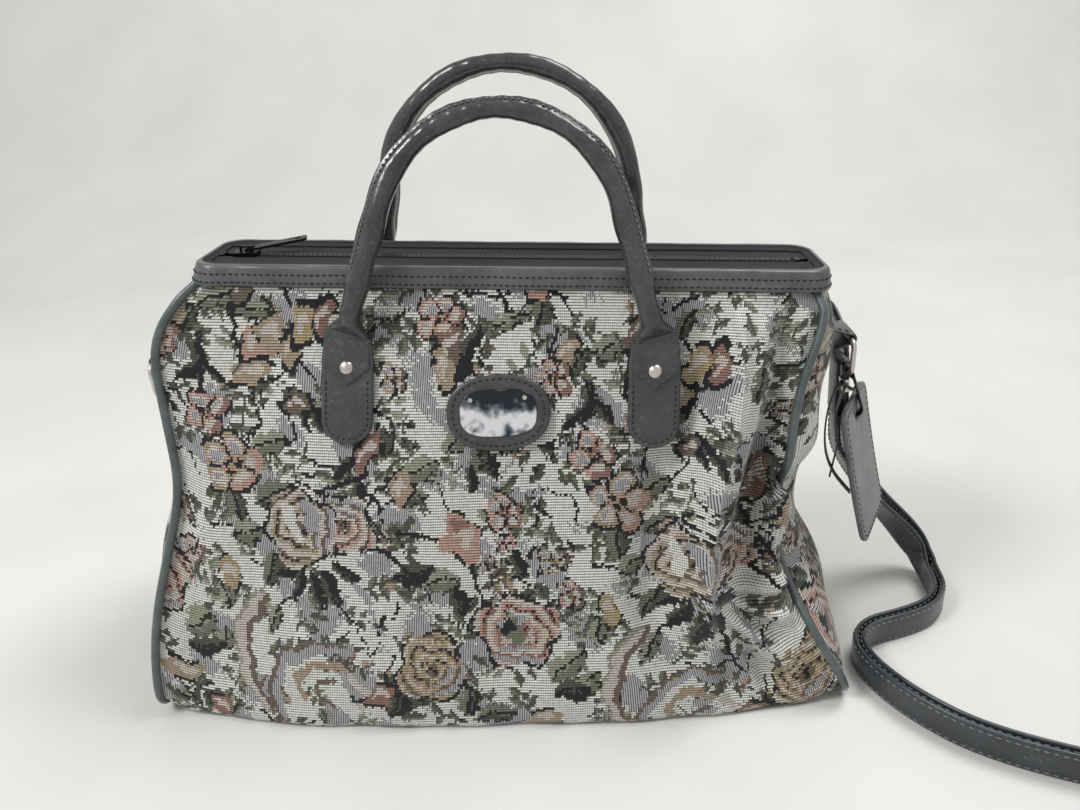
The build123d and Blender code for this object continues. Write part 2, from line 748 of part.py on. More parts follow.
def twisted(points, ups, name):
    """A ribbon along a route, its width turning evenly from one point's way up to the next."""
    path = route(points, name)
    lengths = [(b - a).length for a, b in zip(points, points[1:])]
    marks = [sum(lengths[:i]) / sum(lengths) for i in range(len(points))]
    count = strap_steps * (len(points) - 1)
    faces = []
    for i in range(count + 1):
        share = i / count
        k = max(j for j in range(len(points) - 1) if marks[j] <= share)
        part = (share - marks[k]) / (marks[k + 1] - marks[k])
        way = path % share
        up = ups[k] * (1 - part) + ups[k + 1] * part
        up = (up - way * up.dot(way)).normalized()
        spot = Plane(origin=path @ share, x_dir=up, z_dir=way)
        faces.append(spot * Rectangle(strap_width, strap_thick))
    return loft(faces, ruled=True)


def reach_point(x, y, z):
    return Vector(half_base + x, y, z)


across = Vector(0, 1, 0)
down = Vector(0, 0, -1)
slants = [(across * (1 - share) + down * share).normalized() for share in slant_shares]
half_strap = strap_width / 2
near_way = (near_run[0] - near_run[1]).normalized()
far_way = (far_run[0] - far_run[1]).normalized()
near_start = Vector(near_run[0].X, near_run[0].Y, half_strap)
far_start = Vector(far_run[0].X, far_run[0].Y, half_strap)
near_lead = [near_start + Vector(near_way.X, near_way.Y, 0) * d for d in (strap_lead, clear)]
far_lead = [far_start + Vector(far_way.X, far_way.Y, 0) * d for d in (clear, strap_lead)]
eye_foot = right_hook + Vector(0, strap_side, -strap_tail - clear)
eye_low = eye_foot + down * strap_lead
rise_points = [eye_foot, eye_low] + [reach_point(*p) for p in rise_reach] + near_lead
strap_rise = twisted(rise_points, [across, across] + slants + [down, down], "strap from the right ring")
crest = reach_point(*crest_reach)
outer_points = far_lead + [reach_point(*p) for p in reversed(outer_reach)] + [crest]
strap_outer = twisted(outer_points, [down, down] + slants[::-1] + [across], "strap up to the right ring")
crest_way = (crest - outer_points[-2]).normalized()
crest_next = crest + crest_way * clear
left_foot = left_hook + Vector(0, 0, -strap_tail - clear)
left_low = left_foot + down * strap_lead
back_points = [crest_next, crest + crest_way * strap_lead]
back_points += [reach_point(*p) for p in corner_reach + back_reach]
back_points += [Vector(x - half_base, y, z) for x, y, z in wrap_reach] + [left_low, left_foot]
corner_ups = [(across + down).normalized(), down, down]
back_ups = [across, across] + corner_ups + [down] * len(back_reach) + [down, down, down]
back_ups += [(across * -1 + down).normalized(), across * -1]
strap_back = twisted(back_points, back_ups, "strap behind the bag")


# Luggage tag on its thin strap
def tag_frame_of(hook):
    swing = Rot(0, -tag_swing_deg, 0)
    return Pos(hook.X, hook.Y - tag_side, hook.Z) * swing


tag_frame = tag_frame_of(right_hook)
strap_plane = Plane(origin=(0, tag_strap_width / 2, 0), x_dir=(1, 0, 0), z_dir=(0, -1, 0))
thin = tag_strap_thick
tag_strap_bend = ring_wire + clear
tag_turn = math.radians(tag_yaw_deg)
tag_bend = tag_thick / 2 / math.cos(tag_turn) + tag_strap_width / 2 * math.tan(tag_turn) + clear * 2
ring_face = flat_hull([(0, 0, tag_strap_bend + thin), (0, -tag_drop, tag_bend + thin)], strap_plane)
ring_hole = flat_hull([(0, 0, tag_strap_bend), (0, -tag_drop, tag_bend)], strap_plane)
tag_strap_flat = extrude(ring_face - ring_hole, amount=tag_strap_width)
slot_height = tag_drop + tag_bend - tag_slot_height / 2 + thin + clear
tag_top = tag_drop - tag_slot_drop
tag_plate = Pos(0, 0, -tag_top - tag_height / 2) * Rot(0, 90, 0) * extrude(
    RectangleRounded(tag_height, tag_width, tag_corner), amount=tag_thick / 2, both=True)
tag_slot = Pos(0, 0, -slot_height) * Box(tag_thick * 4, tag_slot_width, tag_slot_height)
luggage_tag = tag_frame * Rot(0, 0, -tag_yaw_deg) * (tag_plate - tag_slot)
tag_strap = tag_frame * tag_strap_flat
lean = math.degrees(math.atan((tag_strap_bend - tag_bend) / tag_drop))
buckle_level = tag_drop * buckle_share
side_x = tag_strap_bend + (tag_bend - tag_strap_bend) * buckle_level / tag_drop + thin / 2
buckle_place = Pos(-side_x, 0, -buckle_level) * Rot(0, -lean, 0)
frame_bar = Box(thin + clear * 2 + buckle_bar * 2, buckle_width, buckle_height)
frame_gap = Box(thin + clear * 2, tag_strap_width + clear * 2, buckle_height * 2)
tag_buckle = tag_frame * buckle_place * (frame_bar - frame_gap)

# Board that stiffens the base
board_low = cloth - base_skim + clear * 2
board_face = RectangleRounded(board_length, board_width, board_corner)
board = Pos(0, 0, board_low) * extrude(board_face, amount=board_thick)

nodes = {
    "tapestry_body": wrap,
    "left_end_panel": left_end,
    "right_end_panel": right_end,
    "left_piping": left_piping,
    "right_piping": right_piping,
    "front_top_band": front_band,
    "back_top_band": back_band,
    "front_zip_tape": front_tape,
    "back_zip_tape": back_tape,
    "front_zip_teeth": front_teeth,
    "back_zip_teeth": back_teeth,
    "zip_stops": zip_stops,
    "zip_slider": zip_slider,
    "zip_pull": zip_pull,
    "front_handle": front_handle,
    "back_handle": back_handle,
    "front_left_tab": front_tabs[0],
    "front_right_tab": front_tabs[1],
    "back_left_tab": back_tabs[0],
    "back_right_tab": back_tabs[1],
    "tab_rivets": rivets,
    "badge_patch": badge_patch,
    "badge_plate": badge_plate,
    "badge_pins": badge_pins,
    "left_ring_loop": left_loop,
    "right_ring_loop": right_loop,
    "left_ring": left_ring,
    "right_ring": right_ring,
    "strap_left_eye": left_eye,
    "strap_right_eye": right_eye,
    "strap_floor": strap_floor,
    "strap_rise": strap_rise,
    "strap_outer": strap_outer,
    "strap_back": strap_back,
    "luggage_tag": luggage_tag,
    "tag_strap": tag_strap,
    "tag_buckle": tag_buckle,
    "base_board": board,
}
for name, solid in nodes.items():
    save(solid, name)
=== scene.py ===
import bpy
import numpy as np
from mathutils import Matrix


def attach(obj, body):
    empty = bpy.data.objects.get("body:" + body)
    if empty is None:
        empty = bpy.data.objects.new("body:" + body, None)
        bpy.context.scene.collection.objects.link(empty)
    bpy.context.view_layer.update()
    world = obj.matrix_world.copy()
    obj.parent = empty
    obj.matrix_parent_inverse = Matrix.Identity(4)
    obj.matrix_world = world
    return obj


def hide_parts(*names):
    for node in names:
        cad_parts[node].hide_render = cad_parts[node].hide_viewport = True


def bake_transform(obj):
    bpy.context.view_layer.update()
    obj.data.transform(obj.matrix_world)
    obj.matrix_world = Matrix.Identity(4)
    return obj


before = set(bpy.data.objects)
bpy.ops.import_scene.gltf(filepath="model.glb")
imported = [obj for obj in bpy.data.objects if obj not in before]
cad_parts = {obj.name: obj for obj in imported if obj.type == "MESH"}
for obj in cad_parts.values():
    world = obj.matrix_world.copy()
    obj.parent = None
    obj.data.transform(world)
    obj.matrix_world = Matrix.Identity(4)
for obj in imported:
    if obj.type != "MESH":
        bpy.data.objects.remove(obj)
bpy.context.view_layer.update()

# Sizes of the bag in metres, as in the solids
base_length = 0.432
base_depth = 0.208
top_left = np.array([-0.1605, 0.0, 0.274])
top_right = np.array([0.2045, 0.0, 0.253])
half_mouth = 0.030
hem_drop = 0.018
hem_run = 0.0064
wall_bulge = 0.013
corner = 0.005
front_sag = 0.0075
sag_height = 0.010
sag_spread = 0.050
mouth_tuck = 0.0048
mouth_span = float(np.linalg.norm(top_right - top_left))
piping_radius = 0.0026
depth_shares = np.array((0.92, 0.945, 0.97, 0.99, 1.0, 1.0, 0.995, 0.985, 0.965, 0.945, 0.92))
front_shares = np.array((0.0, 0.45, 0.8, 1.0, 1.0, 0.95, 0.82, 0.62, 0.4, 0.1, 0.0))
back_shares = np.array((0.0, 0.45, 0.8, 1.0, 1.0, 1.0, 1.0, 0.95, 0.8, 0.5, 0.0))
hem_share = 0.066
turn_share = 0.955
cloth_rise = 0.290
strap_wide = 0.020
strap_thick = 0.0032
tab_long = 0.061
floor_gap = 0.0002

# Ends of the cloth: the share of its length where the base's edge lifts and rounds off, how far it lifts, how
# much more it rounds, the back's share of the right seam's shift, and the front's fold over and in beside it
end_share = 0.08
end_lift = 0.0060
end_round = 1.8
back_pull = 0.45
fold_over = 0.014
fold_in = 0.024

# The frame's axes
x_way, y_way, z_way = np.eye(3)

# Threads of the cloth that one unit of its UV map spans
uv_threads = 100.0


# Shaders
class Shade:
    """One socket of a material, with sums written as Python and any node made by one method."""

    def __init__(self, tree, link=None):
        self.tree = tree
        self.link = link

    def node(self, kind, settings=None, inputs=None, out=0):
        made = self.tree.nodes.new(kind)
        for key, value in (settings or {}).items():
            setattr(made, key, value)
        for key, value in (inputs or {}).items():
            self.feed(made.inputs[key], value)
        return Shade(self.tree, made.outputs[out])

    def output(self, name):
        """Another output of the same node."""
        return Shade(self.tree, self.link.node.outputs[name])

    def feed(self, socket, value):
        if isinstance(value, Shade):
            self.tree.links.new(value.link, socket)
        else:
            socket.default_value = value

    def place(self):
        """Where a point lies on its object."""
        return self.node("ShaderNodeTexCoord", out=3)

    def sum(self, operation, a, b, clamp=False):
        return self.node("ShaderNodeMath", {"operation": operation, "use_clamp": clamp}, {0: a, 1: b})

    def __add__(self, other):
        return self.sum("ADD", self, other)

    def __sub__(self, other):
        return self.sum("SUBTRACT", self, other)

    def __rsub__(self, other):
        return self.sum("SUBTRACT", other, self)

    def __mul__(self, other):
        return self.sum("MULTIPLY", self, other)

    def __lt__(self, other):
        return self.sum("LESS_THAN", self, other)

    def __mod__(self, other):
        return self.sum("FLOORED_MODULO", self, other)

    def mixed(self, a, b):
        """Colour a where this value is 0, b where it is 1."""
        return self.node("ShaderNodeMix", {"data_type": "RGBA"}, {0: self, 6: a, 7: b}, out=2)

    def toned(self, *stops):
        """A ramp of colours, each at its own value of this socket."""
        made = self.node("ShaderNodeValToRGB", None, {0: self})
        elements = made.link.node.color_ramp.elements
        while len(elements) < len(stops):
            elements.new(1.0)
        for element, (value, colour) in zip(elements, stops):
            element.position = value
            element.color = rgba(colour)
        return made


def srgb(r, g, b):
    """A colour as it looks on a screen, 0 to 255, turned to linear light."""
    c = np.array((r, g, b)) / 255.0
    lin = np.where(c <= 0.04045, c / 12.92, ((c + 0.055) / 1.055) ** 2.4)
    return tuple(float(x) for x in lin)


def rgba(colour):
    return (*colour, 1.0)


def finish(name, **constants):
    """A new material with constants on its main shader: the material, a Shade, and the shader's sockets."""
    material = bpy.data.materials.new(name)
    material.use_nodes = True
    sockets = material.node_tree.nodes["Principled BSDF"].inputs
    for key, value in constants.items():
        sockets[key.replace("_", " ")].default_value = value
    return material, Shade(material.node_tree), sockets


def bumped(shade, sockets, height, distance, strength):
    sizes = {"Strength": strength, "Distance": distance, "Height": height}
    shade.feed(sockets["Normal"], shade.node("ShaderNodeBump", None, sizes))


def tapestry_finish():
    """Thread colours kept on the mesh, with painted shade in the gaps between rows of weft, or between lines
    of warp where the colour's fourth value is 1."""
    material, shade, sockets = finish("tapestry", Roughness=0.88, Specular_IOR_Level=0.25, Sheen_Weight=0.15)
    tint = shade.node("ShaderNodeAttribute", {"attribute_name": "weave"})
    lined = tint.output("Alpha")
    cloth = shade.node("ShaderNodeUVMap", {"uv_map": "threads"})
    axes = shade.node("ShaderNodeSeparateXYZ", None, {0: cloth})
    warp = axes.output(0) * uv_threads % 1.0
    weft = axes.output(1) * uv_threads % 1.0
    # Painted shade: the gaps between rows of weft, and between lines of warp, are mixed towards near black
    row_gap_shade = (weft < 0.40) * ((warp < 0.50) * 0.55 + 0.45)
    line_gap_shade = (warp < 0.42) * 0.9
    dark = row_gap_shade * (1.0 - lined) + line_gap_shade * lined
    fuzz = shade.node("ShaderNodeTexNoise", None, {"Scale": 900.0, "Detail": 2.0, "Vector": shade.place()})
    shade.feed(sockets["Base Color"], (dark * 0.96).mixed(tint, rgba(srgb(26, 26, 29))))
    bumped(shade, sockets, (1.0 - dark) + fuzz * 0.35, 0.0004, 0.7)
    return material


def vinyl_finish(name, dark, light, rough):
    """Grained vinyl: fine cells, cloudy tone, and pale lines where it has rubbed."""
    material, shade, sockets = finish(name, Coat_Weight=0.30, Coat_Roughness=0.22)
    place = shade.place()
    grain = shade.node("ShaderNodeTexVoronoi", {"feature": "F1"}, {"Vector": place, "Scale": 1100.0})
    cloud = shade.node("ShaderNodeTexNoise", None,
                       {"Vector": place, "Scale": 45.0, "Detail": 6.0, "Roughness": 0.7})
    rub = shade.node("ShaderNodeTexNoise", None, {"Vector": place, "Scale": 420.0, "Detail": 2.0})
    tone = cloud.toned((0.34, srgb(*dark)), (0.68, srgb(*light)))
    worn = cloud.sum("MULTIPLY", (rub - 0.57) * 2.0, cloud, clamp=True)
    shade.feed(sockets["Base Color"], worn.mixed(tone, rgba(srgb(140, 143, 142))))
    shade.feed(sockets["Roughness"], cloud * 0.22 + rough)
    bumped(shade, sockets, grain + cloud * 0.8, 0.00010, 0.35)
    return material


def metal_finish(name, colour, rough, scratch, metallic=1.0):
    """Metal, or a hard dull stuff where metallic is 0, with a cloudy tone and an uneven gloss."""
    material, shade, sockets = finish(name, Metallic=metallic)
    cloud = shade.node("ShaderNodeTexNoise", None, {"Vector": shade.place(), "Scale": 120.0, "Detail": 4.0})
    light = srgb(*colour)
    shade.feed(sockets["Base Color"], cloud.toned((0.3, tuple(0.8 * c for c in light)), (0.7, light)))
    shade.feed(sockets["Roughness"], cloud * scratch + rough)
    return material


def cloth_finish(name, colour, pitch):
    """Thread or ribbed tape: waves across it, with painted shade that darkens the colour in their dips."""
    material, shade, sockets = finish(name, Roughness=0.85)
    rib = shade.node("ShaderNodeTexWave", {"bands_direction": "X"},
                     {"Vector": shade.place(), "Scale": pitch, "Distortion": 0.4})
    light = srgb(*colour)
    # Painted shade: the colour falls to 0.6 of itself in the dips of the waves
    shade.feed(sockets["Base Color"], rib.toned((0.2, tuple(0.6 * c for c in light)), (0.8, light)))
    bumped(shade, sockets, rib, 0.0003, 0.6)
    return material


def plate_finish():
    """Bright metal with a painted reflection: its tint runs light, dark and light again up the plate, as if
    it mirrored a room.
    """
    material, shade, sockets = finish("plate_chrome", Metallic=1.0, Roughness=0.07)
    bands = shade.node("ShaderNodeTexWave", {"bands_direction": "Z"},
                       {"Vector": shade.place(), "Scale": 11.0, "Distortion": 3.0, "Detail": 2.0,
                        "Detail Scale": 9.0})
    # Painted reflection: dark and bright tint bands up the plate stand in for a mirrored room
    tone = bands.toned((0.25, srgb(52, 54, 62)), (0.55, srgb(120, 123, 132)), (0.9, srgb(226, 227, 230)))
    shade.feed(sockets["Base Color"], tone)
    return material


tapestry = tapestry_finish()
vinyl = vinyl_finish("slate_vinyl", (42, 45, 45), (64, 68, 67), 0.25)
vinyl_grip = vinyl_finish("grip_vinyl", (40, 44, 44), (64, 69, 67), 0.10)
vinyl_band = vinyl_finish("band_vinyl", (62, 65, 65), (90, 93, 92), 0.25)
vinyl_strap = vinyl_finish("strap_vinyl", (36, 41, 46), (52, 58, 64), 0.26)
vinyl_cord = vinyl_finish("piping_vinyl", (60, 68, 70), (92, 101, 102), 0.26)
vinyl_tag = vinyl_finish("tag_vinyl", (84, 87, 87), (118, 121, 120), 0.40)
black_vinyl = vinyl_finish("black_vinyl", (16, 17, 18), (30, 31, 33), 0.36)
pale_thread = cloth_finish("pale_thread", (158, 160, 158), 400.0)
dark_thread = cloth_finish("dark_thread", (22, 23, 24), 400.0)
tape_cloth = cloth_finish("zip_tape_cloth", (34, 34, 37), 700.0)
coil = metal_finish("zip_coil", (30, 31, 34), 0.38, 0.2, metallic=0.0)
black_metal = metal_finish("black_enamel", (38, 39, 42), 0.28, 0.2)
nickel = metal_finish("nickel", (205, 200, 192), 0.16, 0.25)
chrome = plate_finish()
board_stuff = metal_finish("base_board_fibre", (44, 44, 46), 0.7, 0.2, metallic=0.0)


# Meshes
def placed(name, data):
    """A new object that shows this data, linked into the scene."""
    made = bpy.data.objects.new(name, data)
    bpy.context.scene.collection.objects.link(made)
    return made


def cell_corners(rows, columns):
    """The row and column numbers of each cell's four corners, in order round the cell."""
    a, b = np.meshgrid(np.arange(rows), np.arange(columns), indexing="ij")
    return [(a, b), (a + 1, b), (a + 1, b + 1), (a, b + 1)]


class Shell:
    """Grids of points, each joined by faces that may close round on themselves, gathered into one mesh."""

    def __init__(self):
        self.points = []
        self.faces = []
        self.uvs = []
        self.tints = []
        self.stuffs = []
        self.count = 0

    def add(self, points, faces, stuff, uvs=None, tints=None):
        """Takes in points and the faces between them, with a UV place and a tint at each face's corners."""
        self.points.append(points.reshape(-1, 3))
        self.faces.append(faces + self.count)
        self.stuffs.append(np.broadcast_to(stuff, len(faces)))
        self.uvs.append(np.zeros((faces.size, 2)) if uvs is None else uvs)
        self.tints.append(np.zeros((faces.size, 4)) if tints is None else tints)
        self.count += len(self.points[-1])
        return self

    def grid(self, points, uv=None, tint=None, round_v=False, round_u=False, flip=False, stuff=0):
        """Quads between rows by columns of points. round_v joins the last column to the first, round_u the
        last row to the first. stuff is the material's number, for all faces or for each column of them."""
        n, m = points.shape[:2]
        spots = cell_corners(n if round_u else n - 1, m if round_v else m - 1)
        shape = spots[0][0].shape
        if flip:
            spots = spots[::-1]
        if uv is None:
            uv = np.stack(np.meshgrid(np.arange(n + 1) / n, np.arange(m + 1) / m, indexing="ij"), -1)
        quads = np.stack([p % n * m + q % m for p, q in spots], -1).reshape(-1, 4)
        corners = np.stack([uv[p, q] for p, q in spots], -2).reshape(-1, 2)
        tints = None if tint is None else np.repeat(tint.reshape(-1, 4), 4, 0)
        return self.add(points, quads, np.broadcast_to(stuff, shape).reshape(-1), corners, tints)

    def fan(self, ring, flip=False):
        """Closes a ring of points with triangles to its middle."""
        m = len(ring)
        i = np.arange(m)
        tri = np.stack([i, (i + 1) % m, np.full(m, m)], -1)
        return self.add(np.vstack([ring, ring.mean(0)]), tri[:, ::-1] if flip else tri, 0)

    def tube(self, rings):
        """Rings joined along their length, closed at both ends."""
        return self.grid(rings, round_v=True).fan(rings[0]).fan(rings[-1], flip=True)

    def sew(self, path, facing, *sizes):
        """A row of stitches in the second material, each a closed lump whose ends are capped by quads."""
        lumps = stitches(path, facing, *sizes)
        k, n, m = lumps.shape[:3]
        one = np.stack([p * m + q % m for p, q in cell_corners(n - 1, m)], -1).reshape(-1, 4)
        caps = np.array(((0, 1, 2, 3), (0, 3, 4, 5)))
        one = np.vstack([one, caps, caps[:, ::-1] + (n - 1) * m])
        return self.add(lumps, (one[None] + (np.arange(k) * n * m)[:, None, None]).reshape(-1, 4), 1)

    def piece(self, name, stuffs, slot, body=None, replaces=()):
        """The mesh as an object with these materials, which rides a body and replaces nodes. The slot is not
        used.
        """
        mesh = bpy.data.meshes.new(name)
        points = np.concatenate(self.points)
        loops = np.concatenate([f.ravel() for f in self.faces])
        sizes = np.concatenate([np.full(len(f), f.shape[1]) for f in self.faces])
        mesh.vertices.add(len(points))
        mesh.vertices.foreach_set("co", points.astype(np.float32).ravel())
        mesh.loops.add(len(loops))
        mesh.loops.foreach_set("vertex_index", loops.astype(np.int32))
        mesh.polygons.add(len(sizes))
        starts = np.concatenate([[0], np.cumsum(sizes)[:-1]])
        mesh.polygons.foreach_set("loop_start", starts.astype(np.int32))
        mesh.polygons.foreach_set("use_smooth", np.ones(len(sizes), bool))
        mesh.polygons.foreach_set("material_index", np.concatenate(self.stuffs).astype(np.int32))
        layer = mesh.uv_layers.new(name="threads")
        layer.data.foreach_set("uv", np.concatenate(self.uvs).astype(np.float32).ravel())
        tints = np.concatenate(self.tints)
        if tints.any():
            colours = mesh.color_attributes.new("weave", "FLOAT_COLOR", "CORNER")
            colours.data.foreach_set("color", tints.astype(np.float32).ravel())
        for stuff in stuffs:
            mesh.materials.append(stuff)
        mesh.update(calc_edges=True)
        made = placed(name, mesh)
        if body:
            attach(made, body)
        if replaces:
            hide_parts(*replaces)
        return made


def unit(v):
    return v / np.linalg.norm(v, axis=-1, keepdims=True)


def smooth(a, b, x):
    """0 below a, 1 above b, and an even S between."""
    t = np.clip((x - a) / (b - a), 0, 1)
    return t * t * (3 - 2 * t)


def span(a, b, c, d, x):
    """Rises from 0 at a to 1 at b, and falls back from 1 at c to 0 at d."""
    return smooth(a, b, x) * (1 - smooth(c, d, x))


def bell(x, width):
    return np.exp(-(x / width) ** 2)


def along(path):
    """Unit tangents of a path, and its distance from the start."""
    step = np.linalg.norm(np.diff(path, axis=0), axis=1)
    return unit(np.gradient(path, axis=0)), np.concatenate([[0], np.cumsum(step)])


def carried(at, far, values):
    """Rows of values known at the distances far, read at the distances at."""
    return np.stack([np.interp(at, far, values[:, k]) for k in range(3)], -1)


def resampled(path, count):
    """The same path at even steps of its length."""
    far = along(path)[1]
    return carried(np.linspace(0, far[-1], count), far, path)


def turns(count):
    """Even angles once round."""
    return np.linspace(0, 2 * np.pi, count, endpoint=False)


def superellipse(angle, power):
    """A superellipse's two shares at each angle: cosine and sine to the power 2 / power, signs kept."""
    c, s = np.cos(angle), np.sin(angle)
    return np.sign(c) * np.abs(c) ** (2 / power), np.sign(s) * np.abs(s) ** (2 / power)


def round_tube(path, radius, sides, up):
    """Circles of the given radius, each square to the path."""
    way = along(path)[0]
    side = unit(np.cross(way, np.broadcast_to(up, way.shape)))
    over = np.cross(side, way)
    turn = turns(sides)[None, :, None]
    return path[:, None] + radius * (np.cos(turn) * side[:, None] + np.sin(turn) * over[:, None])


def stitches(path, facing, pitch=0.0036, length=0.0025, thick=0.00045, lift=0.0002):
    """Short rounded threads at even steps along a path: an ellipsoid of 5 rings by 6 points at each."""
    way, far = along(path)
    count = max(2, int(far[-1] / pitch))
    at = (np.arange(count) + 0.5) * far[-1] / count
    spot = carried(at, far, path)
    way = unit(carried(at, far, way))
    out = unit(carried(at, far, np.broadcast_to(facing, path.shape)))
    side = unit(np.cross(way, out))
    t = np.linspace(-1, 1, 5)
    ring = turns(6)[None, None, :, None]
    size = np.sqrt(np.maximum(0.02, 1 - t ** 2))[None, :, None, None] * thick
    lump = (t[None, :, None, None] * way[:, None, None] * length / 2
            + size * (np.cos(ring) * side[:, None, None] + np.sin(ring) * out[:, None, None]))
    return (spot + out * lift)[:, None, None] + lump


# The cloth's form
def eased(table, s):
    """A table at even stations, read between them by a cubic through the four nearest values."""
    n = len(table) - 1
    k = np.clip((s * n).astype(int), 0, n - 1)
    t = s * n - k
    a, b, c, d = (table[np.clip(k + i, 0, n)] for i in (-1, 0, 1, 2))
    return b + 0.5 * t * (c - a + t * (2 * a - 5 * b + 4 * c - d + t * (3 * (b - c) + d - a)))


left_seam_z = np.array((0.0, 18, 42, 77, 111, 148, 183, 217, 235, 250, 262, 274)) / 1000
left_seam_x = np.array((3.0, 1, -4, -4, 1, 6, -4, -14, -18, -9, 0, 1)) / 1000
right_seam_z = np.array((0.0, 13, 30, 49, 76, 100, 124, 152, 172, 192, 212, 226, 246, 256)) / 1000
right_seam_x = np.array((0.0, 0, -9, -20, -35, -36, -34, -31, -28, -23, -14, -8, 0, 0)) / 1000


def softened(z, levels, values):
    """A table of seam shifts at heights, rounded off by the mean of three nearby readings."""
    return sum(np.interp(z + d, levels, values) for d in (-0.012, 0.0, 0.012)) / 3


def wall(s, v, back=False):
    """The cloth's outside at share s along the bag and share v down from the mouth to the base's edge.

    Each cross-section leans with the ends: a straight hem, a wall that bows out by a parabola, and a rounded
    corner. The seams at the two ends are shifted along the bag, and the shift dies away into the panel.
    Halfway up, the front folds back on itself beside its right seam."""
    foot = np.stack([base_length * (s - 0.5), 0 * s, 0 * s], -1)
    head = top_left + (top_right - top_left) * s[..., None]
    height = np.linalg.norm(head - foot, axis=-1)
    rise = (head - foot) / height[..., None]
    ends = np.minimum(s, 1 - s)
    edge = np.maximum(0, 1 - ends / end_share)
    floor = end_lift * edge ** 2
    turn = corner * (1 + end_round * edge ** 2)
    half = base_depth / 2 * eased(depth_shares, s)
    bow = wall_bulge * eased(back_shares if back else front_shares, s)
    t1 = np.clip(v / hem_share, 0, 1)
    t2 = np.clip((v - hem_share) / (turn_share - hem_share), 0, 1)
    t3 = np.clip((v - turn_share) / (1 - turn_share), 0, 1)
    run = half - half_mouth - hem_run
    fall = height - hem_drop - turn - floor
    long = np.hypot(run, fall)
    arch = bow * 4 * t2 * (1 - t2)
    y = half_mouth + hem_run * t1 + run * t2 + arch * fall / long - turn * (1 - np.cos(t3 * np.pi / 2))
    z = height - hem_drop * t1 - fall * t2 + arch * run / long - turn * np.sin(t3 * np.pi / 2)
    spot = foot + rise * z[..., None]
    if not back:
        y = y + front_sag * bell(z - sag_height, sag_spread) * smooth(0.0, 0.22, ends)
    tuck = mouth_tuck * bell(ends * mouth_span, 0.014) * (1 - smooth(0.0, 0.035, height - z))
    spot[..., 1] = y - tuck if back else tuck - y
    spot[..., 0] += np.where(s < 0.5, tuck, -tuck)
    pull = back_pull if back else 1.0
    left = softened(spot[..., 2], left_seam_z, left_seam_x) * (1 - smooth(0.0, 0.30, s))
    right = softened(spot[..., 2], right_seam_z, right_seam_x) * smooth(0.55, 1.0, s)
    spot[..., 0] += left + right * pull
    if not back:
        tucked = span(0.045, 0.075, 0.122, 0.155, spot[..., 2])
        spot[..., 0] += fold_over * tucked * span(0.87, 0.955, 0.955, 1.0, s)
        spot[..., 1] += fold_in * tucked * smooth(0.950, 1.0, s)
    return spot


def outward(spots):
    """The way each grid point faces: across both grid directions."""
    return unit(np.cross(np.gradient(spots, axis=1), np.gradient(spots, axis=0)))


# Front panel's folds: a deep crease on the right, its pleats, and a fan of creases below it
crease_z = np.array((0.0, 24, 52, 68, 88, 128, 152, 178, 202, 226, 252, 276, 290)) / 1000
crease_x = np.array((158.0, 146, 135, 128, 125, 127, 131, 137, 144, 149, 152, 155, 157)) / 1000


def groove(d, left, right):
    """A crease at d = 0 that drops sharply on its left and rises slowly on its right, as exponentials."""
    return np.where(d < 0, np.exp(d / left), np.exp(-d / right))


def ray_fold(x, z, x0, z0, angle, width, reach):
    """A ridge that runs out from a point at an angle, and fades along its length."""
    c, n = np.cos(angle), np.sin(angle)
    u = (x - x0) * c + (z - z0) * n
    w = -(x - x0) * n + (z - z0) * c
    fade = smooth(-0.004, 0.012, u) * (1 - smooth(reach * 0.6, reach, u))
    return bell(w, width + 0.05 * np.maximum(u, 0)) * fade


# Pleats beside the crease: distance to its right, and depth
pleats = ((0.013, 0.0045), (0.024, -0.0040), (0.036, 0.0065), (-0.015, 0.0025))

# Creases that fan out from a point on the deep crease: angle, half width, height, reach
fan_spot = (0.128, 0.088)
fan_folds = ((-0.55, 0.0045, 0.0060, 0.080), (-0.95, 0.0040, 0.0060, 0.090), (-1.30, 0.0045, 0.0055, 0.085),
             (-0.15, 0.0055, 0.0060, 0.065), (1.15, 0.0050, 0.0035, 0.130), (1.75, 0.0060, 0.0030, 0.110))

# Wide swells of the front: height, place and width along the bag, place and width up the cloth
swells = ((0.004, 0.17, 0.03, 0.035, 0.03), (0.0045, -0.135, 0.035, 0.235, 0.035),
          (-0.0050, -0.160, 0.028, 0.150, 0.040), (0.0035, -0.165, 0.03, 0.050, 0.04))


def front_folds(x, z):
    """How far the front stands out, from its place x along the bag and its height z up the cloth."""
    from_crease = x - np.interp(z, crease_z, crease_x)
    deep = smooth(0.03, 0.08, z) * (1 - smooth(0.20, 0.275, z) * 0.75)
    d = -0.027 * deep * groove(from_crease, 0.007, 0.014)
    d += 0.008 * bell(from_crease + 0.027, 0.014) * deep
    for shift, size in pleats:
        d -= size * bell(from_crease - shift, 0.0040) * span(0.11, 0.16, 0.250, 0.285, z)
    d += 0.014 * bell(from_crease - 0.029, 0.012) * span(0.05, 0.10, 0.19, 0.25, z)
    d -= 0.009 * bell(from_crease - 0.047, 0.007) * span(0.11, 0.15, 0.21, 0.26, z)
    for angle, width, size, reach in fan_folds:
        d += size * ray_fold(x, z, *fan_spot, angle, width, reach)
        d -= size * ray_fold(x, z, *fan_spot, angle + 0.20, width * 0.7, reach)
    for size, at_x, wide, at_z, high in swells:
        d += size * bell(x - at_x, wide) * bell(z - at_z, high)
    d += 0.0016 * np.sin(x * 41 + z * 17 + 0.6) * np.sin(z * 29 - x * 9) * smooth(0.0, 0.05, z)
    d += 0.0008 * np.sin(x * 97 - z * 53) * np.sin(z * 71 + x * 31 + 1.0)
    d += 0.0010 * bell(z - 0.022, 0.012) * np.sin(x * 60 + 1.2)
    return d


